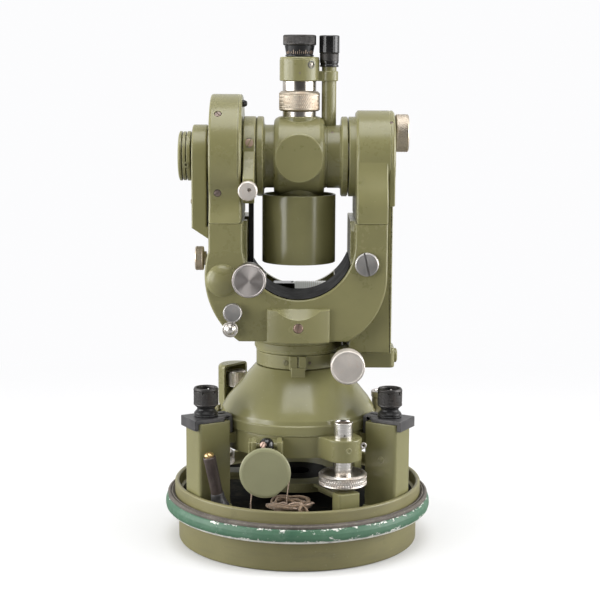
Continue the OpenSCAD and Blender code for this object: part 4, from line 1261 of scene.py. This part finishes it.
def azimuth_parts():
    z0, z1 = 118.8, span("azimuth_collar")[1].z
    ring = turned([
        (21, z0), (27.3, z0), (28, z0 + 0.6, 0.3), (28, z1 - 0.6, 0.3), (27.3, z1), (21, z1)], 140, 0.3)
    clip_l = block((-5.5, -0.35), (-30.6, -26), (z0 + 0.3, z1 - 0.2), 0.5)
    clip_r = block((0.35, 5.5), (-30.6, -26), (z0 + 0.3, z1 - 0.2), 0.5)
    tongue = block((-4.5, 4.5), (-31.6, -27.2), (114.8, z0 + 2.2), 0.5)
    lug = block((20, 37), (-18, -12), (z0, z1), 0.6)
    boss = clamp_rod(4.7, 24, 36, 40)
    shape = cut(union(ring, clip_l, clip_r, tongue, lug, boss), upright(20.99, z0 - 6, z1 + 2, 96),
                clamp_rod(2.55, 22, 38, 24))
    piece("azimuth_collar_ring", "azimuth_collar", OLIVE, shape, ["azimuth_collar"], (0, 0, z0))
    for i, (x, size) in enumerate(((-8.3, 2.0), (7.6, 0.9))):
        y = -math.sqrt(28 ** 2 - x * x)
        at = Vector((x, y + 0.1, 123.6))
        out = Vector((x, y, 0)).normalized()
        fitted("azimuth_collar_screw_%d" % i, "azimuth_collar", SCREW_DARK if i else OLIVE_SHADED,
               screw_head(size, 0.5, size * 0.3, 60), (), at, out)
    knob = turned([
        (0, 24), (2.5, 24), (2.5, 36.2), (5.1, 36.3), (5.6, 36.9, 0.1), (5.6, 46.2, 0.1), (5.0, 47),
        (0, 47)], 64, 0.25, (4, "straight", 36, 0.3, 1.0))
    direction = polar(COLLAR_AZIMUTH, 1)
    fitted("azimuth_clamp_turned", "azimuth_clamp_knob", KNURL_NICKEL, knob, ["azimuth_clamp_knob"],
           (0, 0, COLLAR_MID_Z), direction, 50)


# ---- telescope --------------------------------------------------------------------------

def telescope_body():
    lo, hi = span("telescope_body")
    top = hi.z
    half, r = 16.4, top - AXIS_Z - 0.1    # half the cross body's width, and its radius
    barrel = on_trunnion([
        (0, -half), (r - 2.8, -half, 0.3), (r - 1.3, 0.9 - half, 1.2), (r, 3.2 - half, 1.2),
        (r, half - 3.2, 1.2), (r - 1.3, half - 0.9, 1.2), (r - 2.8, half, 0.3), (0, half)], 0, 160, 0.3)
    stub = turned([
        (0, lo.z), (14.9, lo.z), (14.9, AXIS_Z), (12.8, AXIS_Z), (12.8, top - 0.5), (12.3, top),
        (0, top)], 96, 0.2)
    face = r + 0.45
    disc = move(turned([
        (0, -face), (15.1, -face), (15.7, 0.6 - face, 0.3), (15.7, face - 0.6, 0.3), (15.1, face),
        (0, face)], 120, 0.2), (0, 0, AXIS_Z), (0, 1, 0))
    hub = on_trunnion([
        (0, -27.6), (25.3, -27.6), (26.1, -26.9, 0.3), (26.1, -23.7, 0.3), (25.3, -23.1),
        (21.6, -23.0, 0.8), (20.6, -22.0, 0.8), (20.6, 17.4, 0.2), (20.1, 17.7, 0.1), (20.1, 18.1, 0.1),
        (20.6, 18.4, 0.2), (20.6, 26.4, 0.8), (21.6, 27.3, 0.6), (25.3, 27.3), (26.1, 28.0, 0.3),
        (26.1, 31.0, 0.3), (25.3, 31.6), (0, 31.6)], 0, 144, 0.3)
    inside = [upright(12, lo.z - 1, top + 1, 72), axle(9, -29, -13, 48),
              axle(9, 13, 33, 48), rod(4.8, (MICROSCOPE_X, 0, 271.5), (MICROSCOPE_X, 0, 292), 40)]
    shape = cut(union(barrel, stub, disc, hub), *inside)
    piece("telescope_cross_body", "telescope", OLIVE, shape, ["telescope_body"], (0, 0, AXIS_Z), (1, 0, 0))
    dot = screw_head(0.9, 0.1, 0.3, 20)
    out = Vector((0, -12.6, 16.2)).normalized()
    at = Vector((21.5, 0, AXIS_Z)) + out * 20.6
    fitted("telescope_set_screw", "telescope", SCREW_DARK, dot, (), at, out)


def objective():
    lo, hi = span("objective_tube")
    sleeve = turned([(22.8, lo.z), (24.2, lo.z), (24.2, hi.z), (22.8, hi.z)], 160, 0.45)
    web = turned([(20.8, 196), (23, 196), (23, 202), (20.8, 202)], 96, 0)
    barrel = turned([
        (12, 232), (12, 225), (20, 209), (20, 189), (21.6, 189), (21.6, 210), (17, 222), (15.2, 232)],
            120, 0.5)
    shape = union(barrel, web, sleeve)
    piece("objective_barrel", "telescope", OLIVE_GLOSS, shape, ["objective_tube"], (0, 0, lo.z))


def neck_and_focus():
    lo, hi = span("telescope_neck")
    f_lo, f_hi = span("focusing_sleeve")
    neck = turned([
        (7.5, lo.z), (11.0, lo.z), (11.0, f_lo.z - 0.2), (9, f_lo.z - 0.2), (9, f_hi.z + 0.2),
        (11, f_hi.z + 0.2), (11.0, hi.z), (7.5, hi.z)], 120, 0.3)
    collar_gap = turned([(10.2, lo.z + 1.6), (12, lo.z + 1.6), (12, lo.z + 2.0), (10.2, lo.z + 2.0)], 96, 0)
    neck = cut(neck, collar_gap)
    piece("telescope_neck_tube", "telescope", NICKEL_NECK, neck, ["telescope_neck"], (0, 0, lo.z))
    sleeve = turned([
        (9.06, f_lo.z), (12.3, f_lo.z), (13.4, f_lo.z + 1.0, 0.2), (13.4, f_hi.z - 1.4, 0.2),
        (12.0, f_hi.z), (9.06, f_hi.z)], 120, 0.3, (2, "diamond", 66, 0.34, 1.25))
    piece("focusing_sleeve_knurled", "focusing_sleeve", KNURL_COPPERY, sleeve, ["focusing_sleeve"],
          (0, 0, f_lo.z), (0, 0, 1), 50)


def eyepiece():
    lo, hi = span("eyepiece_collar")
    x = MICROSCOPE_X
    collar = turned([
        (8.6, lo.z), (12.4, lo.z), (13, lo.z + 0.5, 0.3), (13, hi.z - 1.6, 0.3), (12.7, hi.z - 1.4, 0.1),
        (12.7, hi.z - 1.0, 0.1), (13, hi.z - 0.8, 0.2), (12.4, hi.z), (9.6, hi.z, 0.3), (9.2, hi.z - 0.6),
        (8.6, hi.z - 0.6)], 120, 0.3)
    ear = move(turned([(0, 0), (5.5, 0), (5.9, 0.5), (5.9, 6.0), (5.5, 6.5), (0, 6.5)], 64, 0.2),
               (x, 0, lo.z))
    link = block((8, x), (-4.2, 4.2), (lo.z, lo.z + 6.5), 0.5)
    shape = cut(union(collar, ear, link), upright(8.6, lo.z - 2, hi.z + 2, 72),
                rod(4.8, (x, 0, lo.z - 2), (x, 0, 316), 40))
    piece("eyepiece_collar_casting", "telescope", OLIVE, shape, ["eyepiece_collar"], (0, 0, lo.z))

    def on_collar(name, material, x, z, shape):
        y = -math.sqrt(13.0 ** 2 - x * x)
        at = Vector((x, y, z))
        out = Vector((x, y, 0)).normalized()
        fitted(name, "telescope", material, shape, (), at, out)

    on_collar("collar_screw_ring", BLACK_SATIN, 7.6, 315.9,
              turned([(1.9, -0.5), (2.4, -0.5), (2.4, 0.35), (1.9, 0.35)], 40, 0.15))
    on_collar("collar_screw", NICKEL_ROUGH, 7.6, 315.9,
              turned([(0, -0.5), (1.6, -0.5), (1.6, 0.1), (0.6, 0.75), (0, 0.8)], 4, 0.05))
    on_collar("collar_mark", SCREW_DARK, 0.2, 310.6,
              turned([(0, -0.3), (0.6, -0.3), (0.6, 0.1), (0, 0.15)], 12, 0.05))


def dioptre():
    hi = span("eyepiece_collar")[1]
    d_lo, d_hi = span("dioptre_ring")
    cone = turned([
        (5.5, d_lo.z), (8.5, d_lo.z), (8.5, hi.z - 0.4), (8.5, hi.z + 0.3), (9.3, hi.z + 0.35),
        (9.3, hi.z + 1.2, 0.2), (8.7, hi.z + 1.5, 0.2), (9.8, 328.2, 0.2), (5.5, 328.4)], 120, 0.2)
    piece("dioptre_barrel", "dioptre_ring", BLACK, cone, ["dioptre_ring"], (0, 0, d_lo.z))
    grip = turned([
        (5.5, 328.3), (10.3, 328.4), (10.8, 328.9, 0.1), (10.8, d_hi.z - 0.6, 0.1), (10.2, d_hi.z, 0.2),
        (8.6, d_hi.z, 0.3), (6.0, d_hi.z - 2.4), (5.5, d_hi.z - 3)], 120, 0.25,
            (2, "straight", 84, 0.22, 1.0))
    piece("dioptre_grip", "dioptre_ring", KNURL_BLACK, grip, (), (0, 0, d_lo.z), (0, 0, 1), 50)
    lens = turned([(0, 330.4), (5.6, 330.4), (5.6, 331.2), (3, 332.0, 3), (0, 332.2)], 48, 0.1)
    piece("eyepiece_lens", "dioptre_ring", GLASS, lens, (), (0, 0, 330))
    dioptre_scale(hi.z)


def dioptre_scale(base_z):
    """Fine engraved strokes of the dioptre scale, every third one longer."""
    strokes = []
    for i in range(-8, 9):
        length = 2.4 if i % 3 == 0 else 1.5
        mark = block((-0.13, 0.13), (-0.2, 0.09), (0, length), 0)
        lean = Matrix.Rotation(math.atan(0.16), 4, "X")
        mark.data.transform(Matrix.Rotation(math.radians(i * 8.5), 4, "Z")
                            @ Matrix.Translation((0, -8.93, base_z + 2.0)) @ lean)
        strokes.append(mark)
    piece("dioptre_scale_strokes", "dioptre_ring", CORD_PALE, union(*strokes), (), (0, 0, base_z))


def microscope():
    at = (MICROSCOPE_X, 0, 0)
    lo, hi = span("microscope_tube")
    tube = turned([(3.4, lo.z), (4.8, lo.z), (4.8, hi.z), (3.4, hi.z)], 64, 0.2)
    fitted("microscope_tube_painted", "telescope", OLIVE, tube, ["microscope_tube"], at)
    lo, hi = span("microscope_eyepiece")
    top_z = hi.z
    low = turned([
        (4.86, lo.z), (5.9, lo.z), (6.1, lo.z + 0.4), (6.1, lo.z + 1.2), (5.7, lo.z + 1.6),
        (5.7, lo.z + 2.2), (6.1, lo.z + 2.6), (6.15, 318.4), (4.86, 318.4)], 72, 0.2)
    fitted("microscope_foot", "microscope_eyepiece", BLACK_GLOSS, low, ["microscope_eyepiece"], at)
    ring = turned([
        (4.86, 318.3), (6.0, 318.3), (6.2, 318.6, 0.1), (6.25, 323.0, 0.1), (5.9, 323.4), (4.86, 323.4)],
        72, 0.1, (2, "diamond", 38, 0.2, 1.0))
    fitted("microscope_knurled_ring", "microscope_eyepiece", KNURL_BLACK, ring, (), at, limit=50)
    cup = turned([
        (3, 323.3), (6.2, 323.3), (6.6, 323.9, 0.1), (6.6, top_z - 0.5, 0.1), (6.2, top_z), (4.6, top_z),
        (3.4, top_z - 1.4), (3, top_z - 2)], 96, 0.2)
    fitted("microscope_eyecup", "microscope_eyepiece", BLACK_GLOSS, cup, (), at, limit=50)
    lens = turned([(0, top_z - 3.4), (3.2, top_z - 3.2), (3.2, top_z - 2.6), (0, top_z - 2.0)], 32, 0.1)
    fitted("microscope_lens", "microscope_eyepiece", GLASS, lens, (), at)


def tilt_clamp():
    arm_z = span("tilt_clamp_arm")[0].z
    ring = on_trunnion([
        (9.1, -36.2), (25.4, -36.2), (26.1, -35.5, 0.3), (26.1, -28.8, 0.3), (25.4, -28.0), (9.1, -28.0)],
            0, 144, 0.3)
    pts = rounded([
        (-12, 262), (-24, 262, 2), (-32, 256), (-41, 244), (-41, 231), (-33, 228), (-18, 236),
        (-12, 240)], 2.0)
    lug = side_slab(pts, -35.6, -28.4, 0.6)
    bore = [axle(9.05, -38, -26, 48), forward(2.05, (-32.1, 237.2), -42, -32, 24)]
    piece("tilt_clamp_ring", "tilt_clamp_arm", OLIVE, cut(union(ring, lug), *bore), ["tilt_clamp_arm"],
          (0, 0, AXIS_Z), (1, 0, 0))
    lever = block((-33, -29.8), (-6, 2), (arm_z, AXIS_Z - 20), 0.4)
    piece("tilt_clamp_lever", "tilt_clamp_arm", BLACK, lever, (), (-31.4, -2, arm_z))
    out = front_slope(-22)
    at = Vector((-32.0, 0, AXIS_Z)) + out * 25.9
    fitted("tilt_clamp_ring_screw", "tilt_clamp_arm", SCREW_COPPER, screw_head(3.0, 0.3, 0.8, 65), (), at,
           out)
    seat = turned([(3.0, -0.6), (3.45, -0.6), (3.45, 0.06), (3.0, 0.06)], 40, 0.05)
    fitted("tilt_clamp_ring_seat", "tilt_clamp_arm", BLACK_SATIN, seat, (), at, out)
    mid = centre("tilt_clamp_knob")
    base = Vector((mid.x, -41.2, mid.z))
    direction = Vector((0.0, -1, 0.0))
    knob = turned([
        (0, -8), (2, -8), (2, 0), (5.5, 0), (6.1, 0.6, 0.1), (6.1, 8.0, 0.1), (5.4, 8.75, 0.2), (0, 8.8)],
            96, 0.25, (4, "straight", 44, 0.15, 1.0))
    hole = rod(1.25, (1.0, 0.9, 6.0), (1.0, 0.9, 10), 24)
    knob = cut(knob, hole)
    fitted("tilt_clamp_turned", "tilt_clamp_knob", NICKEL_ROUGH, knob, ["tilt_clamp_knob"], base,
           direction, 50)


# ---- loose items in the base -------------------------------------------------------------

def curve(name, points, radius, material, body):
    """A round cord along a smooth line through the points, as a mesh."""
    data = bpy.data.curves.new(name, "CURVE")
    data.dimensions = "3D"
    data.bevel_depth = radius * MM
    data.bevel_resolution = 3
    spline = data.splines.new("NURBS")
    spline.points.add(len(points) - 1)
    for p, co in zip(spline.points, points):
        p.co = (*(Vector(co) * MM), 1)
    spline.use_endpoint_u = True
    spline.order_u = 4
    obj = bpy.data.objects.new(name, data)
    bpy.context.scene.collection.objects.link(obj)
    depsgraph = bpy.context.evaluated_depsgraph_get()
    mesh = bpy.data.meshes.new_from_object(obj.evaluated_get(depsgraph))
    bpy.data.objects.remove(obj)
    mesh.materials.clear()
    mesh.materials.append(material)
    shape = bpy.data.objects.new(name, mesh)
    bpy.context.scene.collection.objects.link(shape)
    for f in mesh.polygons:
        f.use_smooth = True
    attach(shape, body)
    return shape


def plumb_set():
    lo, hi = span("plumb_bob")
    foot = Vector((-49.6, -49, lo.z))
    tip = Vector((-57.2, -52.6, hi.z))
    along = (tip - foot).normalized()
    length = (tip - foot).length
    base = turned([
        (0, 1.6), (5.4, 1.6), (6.2, 2.4), (6.3, 4.0, 0.4), (5.5, 5.6, 0.8), (4.5, 9.4, 2.0),
        (4.3, 12.4, 0.4), (3.0, 12.8), (0, 12.8)], 64, 0.3)
    fitted("plumb_bob_foot", "case_base", BLACK_SATIN, base, (), foot, along)
    tube = turned([
        (0, 4), (3.6, 4), (3.75, 8), (4.0, length - 6.5), (4.15, length - 5.9, 0.1),
        (4.15, length - 3.6, 0.2), (3.5, length - 3.0), (0, length - 3.0)], 64, 0.3)
    fitted("plumb_bob_tube", "case_base", BROWN_TUBE, tube, ["plumb_bob"], foot, along)
    nose = turned([
        (0, length - 3.3), (3.0, length - 3.2), (3.2, length - 1.6, 0.5), (2.3, length - 0.6, 0.6),
        (1.0, length, 0.5), (0, length)], 40, 0.2)
    fitted("plumb_bob_tip", "case_base", GOLD, nose, (), foot, along)


def cord():
    """The plumb cord: a loose bundle of turns bound in the middle, with two pale strands."""
    lo, hi = span("plumb_cord")
    mid = (lo + hi) / 2
    rng = random.Random(4)
    turns = []
    for k in range(13):
        phase = rng.uniform(0, TAU)
        stretch = rng.uniform(0.55, 1.12)
        lift = rng.uniform(-1.4, 2.8)
        for i in range(26):
            a = TAU * i / 26 + phase * 0.1
            wob = 1.7 * math.sin(2 * a + phase) + 0.9 * math.sin(3 * a - phase)
            r = 11.6 * stretch + wob
            turns.append((mid.x + r * math.cos(a) * 1.2, mid.y + r * math.sin(a) * 0.9,
                          mid.z + lift + 1.5 * math.sin(2 * a + phase) + 0.08 * k))
    first = curve("plumb_cord_turns", turns, 0.85, CORD, "case_base")
    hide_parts("plumb_cord")
    binding = []
    for i in range(40):
        t = 0.475 * i
        binding.append((mid.x + 9 + 2.6 * math.sin(t), mid.y - 13 + 2.7 * math.cos(t),
                        hi.z - 3.2 + 2.2 * math.cos(t + 0.6)))
    curve("plumb_cord_binding", binding, 0.8, CORD, "case_base")
    for k, (dx, dy, size) in enumerate(((4.0, -9.0, 5.2), (-6.0, -8.0, 4.4), (12.0, -6.0, 3.6))):
        angles = [TAU * i / 14 for i in range(12)]
        loop = [(mid.x + dx + size * math.cos(t), mid.y + dy + 0.5 * size * math.sin(t),
                 hi.z - 1.2 + 1.1 * math.sin(t + k)) for t in angles]
        curve("plumb_cord_loop_%d" % k, loop, 0.5, CORD_PALE, "case_base")
    # two thin cords hang from the foot of the circle mirror into the pan
    disc_lo, disc_hi = span("circle_mirror")
    deck = span("pan_supports")[0].z
    for k, (x, sway) in enumerate(((disc_lo.x + 6.5, 0.6), (disc_hi.x - 1.6, -0.8))):
        start = Vector((x, disc_hi.y + 1.2, disc_lo.z + (4.5 if k == 0 else 9.0)))
        end = Vector((x + sway, disc_hi.y + 2.0, deck + 1.0))
        strand = [start.lerp(end, t / 6) + Vector((0.5 * math.sin(t + k), 0, 0)) for t in range(7)]
        curve("plumb_cord_strand_%d" % k, strand, 0.42, CORD_PALE, "case_base")


def studio_floor():
    """A round white floor that fades into the background."""
    bm = bmesh.new()
    bmesh.ops.create_circle(bm, cap_ends=True, radius=6.0, segments=96)
    mesh = bpy.data.meshes.new("floor")
    bm.to_mesh(mesh)
    bm.free()
    floor = bpy.data.objects.new("floor", mesh)
    floor.location = (0, 0, -0.0002)
    bpy.context.scene.collection.objects.link(floor)
    s = Shade("floor_paper", Roughness=0.8)
    seen = s.node("ShaderNodeLightPath").outputs["Is Camera Ray"]
    paper = s.mix(rgb(0.80, 0.80, 0.80), rgb(0.83, 0.83, 0.83), s.noise(3, 2))
    s.colour(s.mix(rgb(0.30, 0.30, 0.30), paper, seen))
    s.put("Specular IOR Level", 0.15)
    glow = s.node("ShaderNodeEmission")
    glow.inputs["Color"].default_value = (0.975, 0.975, 0.985, 1)
    mix = s.node("ShaderNodeMixShader")
    s.feed(mix.inputs[0], s.times(seen, s.steps(s.radius(), 0.10, 0.65, 0.12, 1.0)))
    s.feed(mix.inputs[1], s.shader.outputs[0])
    s.feed(mix.inputs[2], glow.outputs[0])
    s.feed(s.tree.nodes["Material Output"].inputs["Surface"], mix.outputs[0])
    mesh.materials.append(s.material)


def surroundings():
    """White to the camera; for the object, a fill that is stronger from behind."""
    world = bpy.data.worlds.new("studio")
    bpy.context.scene.world = world
    world.use_nodes = True
    tree = world.node_tree
    back = tree.nodes["Background"]
    back.inputs["Color"].default_value = (0.975, 0.975, 0.985, 1)
    back.inputs["Strength"].default_value = 1.0
    fill = tree.nodes.new("ShaderNodeBackground")
    way = tree.nodes.new("ShaderNodeTexCoord")
    axes = tree.nodes.new("ShaderNodeSeparateXYZ")
    tree.links.new(way.outputs["Generated"], axes.inputs[0])
    ramp = tree.nodes.new("ShaderNodeMapRange")
    for key, v in (("From Min", -0.25), ("From Max", 0.5), ("To Min", 0.07), ("To Max", 0.85)):
        ramp.inputs[key].default_value = v
    tree.links.new(axes.outputs[1], ramp.inputs["Value"])
    fill.inputs["Color"].default_value = (1, 1, 1, 1)
    tree.links.new(ramp.outputs["Result"], fill.inputs["Strength"])
    path = tree.nodes.new("ShaderNodeLightPath")
    mix = tree.nodes.new("ShaderNodeMixShader")
    tree.links.new(path.outputs["Is Camera Ray"], mix.inputs[0])
    tree.links.new(fill.outputs[0], mix.inputs[1])
    tree.links.new(back.outputs[0], mix.inputs[2])
    tree.links.new(mix.outputs[0], tree.nodes["World Output"].inputs["Surface"])


def softbox(name, azimuth, elevation, distance, width, height, power, target=(0, 0, 0.18)):
    """A rectangular light aimed at the target; azimuth 0 is the operator's side."""
    light = bpy.data.lights.new(name, "AREA")
    light.shape = "RECTANGLE"
    light.size = width
    light.size_y = height
    light.energy = power
    obj = bpy.data.objects.new(name, light)
    a, e = math.radians(azimuth), math.radians(elevation)
    way_out = Vector((math.sin(a) * math.cos(e), -math.cos(a) * math.cos(e), math.sin(e)))
    obj.location = Vector(target) + way_out * distance
    obj.rotation_euler = (Vector(target) - obj.location).to_track_quat("-Z", "Y").to_euler()
    obj.visible_camera = False
    bpy.context.scene.collection.objects.link(obj)


def lights():
    """Long boxes and strips at both sides, as the edge reflections show, and one box overhead."""
    low = (0, 0, 0.12)
    softbox("softbox_left", -82, 8, 1.3, 0.85, 1.3, 22, low)
    softbox("strip_left", -49, 4, 1.4, 0.48, 1.3, 10.5, low)
    softbox("softbox_right", 84, 8, 1.3, 0.85, 1.3, 25, low)
    softbox("strip_right", 51, 4, 1.4, 0.30, 1.3, 5.0, low)
    softbox("softbox_top", 0, 78, 1.3, 1.0, 1.0, 13)


def camera():
    data = bpy.data.cameras.new("camera")
    data.sensor_width = 36
    data.lens = 86.4
    obj = bpy.data.objects.new("camera", data)
    look_down = Matrix.Rotation(math.radians(90 - 8.8), 4, "X")
    roll = Matrix.Rotation(math.radians(0.29), 4, "Z")
    obj.matrix_world = Matrix.Translation((0.00105, -0.950, 0.308)) @ look_down @ roll
    bpy.context.scene.collection.objects.link(obj)
    bpy.context.scene.camera = obj


def carried_over():
    """Internal CAD nodes stay as they are, with their own materials."""
    kept = {"axis_bush": STEEL, "vertical_spindle": STEEL, "horizontal_circle": GLASS,
            "vertical_drive_spindle": STEEL, "horizontal_drive_spindle": STEEL,
            "trunnion_bearings": BRONZE, "trunnion_axle": STEEL, "vertical_circle": GLASS,
            "fixed_lenses": GLASS, "focusing_lens": GLASS}
    for node, material in kept.items():
        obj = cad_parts[node]
        obj.data.materials.clear()
        obj.data.materials.append(material)


case_base()
pan_supports()
for clamp_name, clamp_azimuth in CLAMPS.items():
    clamp(clamp_name, clamp_azimuth)
tribrach()
foot_screws()
trivet()
lower_housing()
circle_controls()
circle_mirror()
yoke()
plate_level()
circle_drum()
cover_plate()
illumination_mirror()
micrometer_drum()
right_side()
drive_knobs()
small_front_knobs()
side_knobs()
azimuth_parts()
telescope_body()
objective()
neck_and_focus()
eyepiece()
dioptre()
microscope()
tilt_clamp()
plumb_set()
cord()
carried_over()
studio_floor()
surroundings()
lights()
camera()
bpy.context.scene.view_settings.view_transform = "Standard"
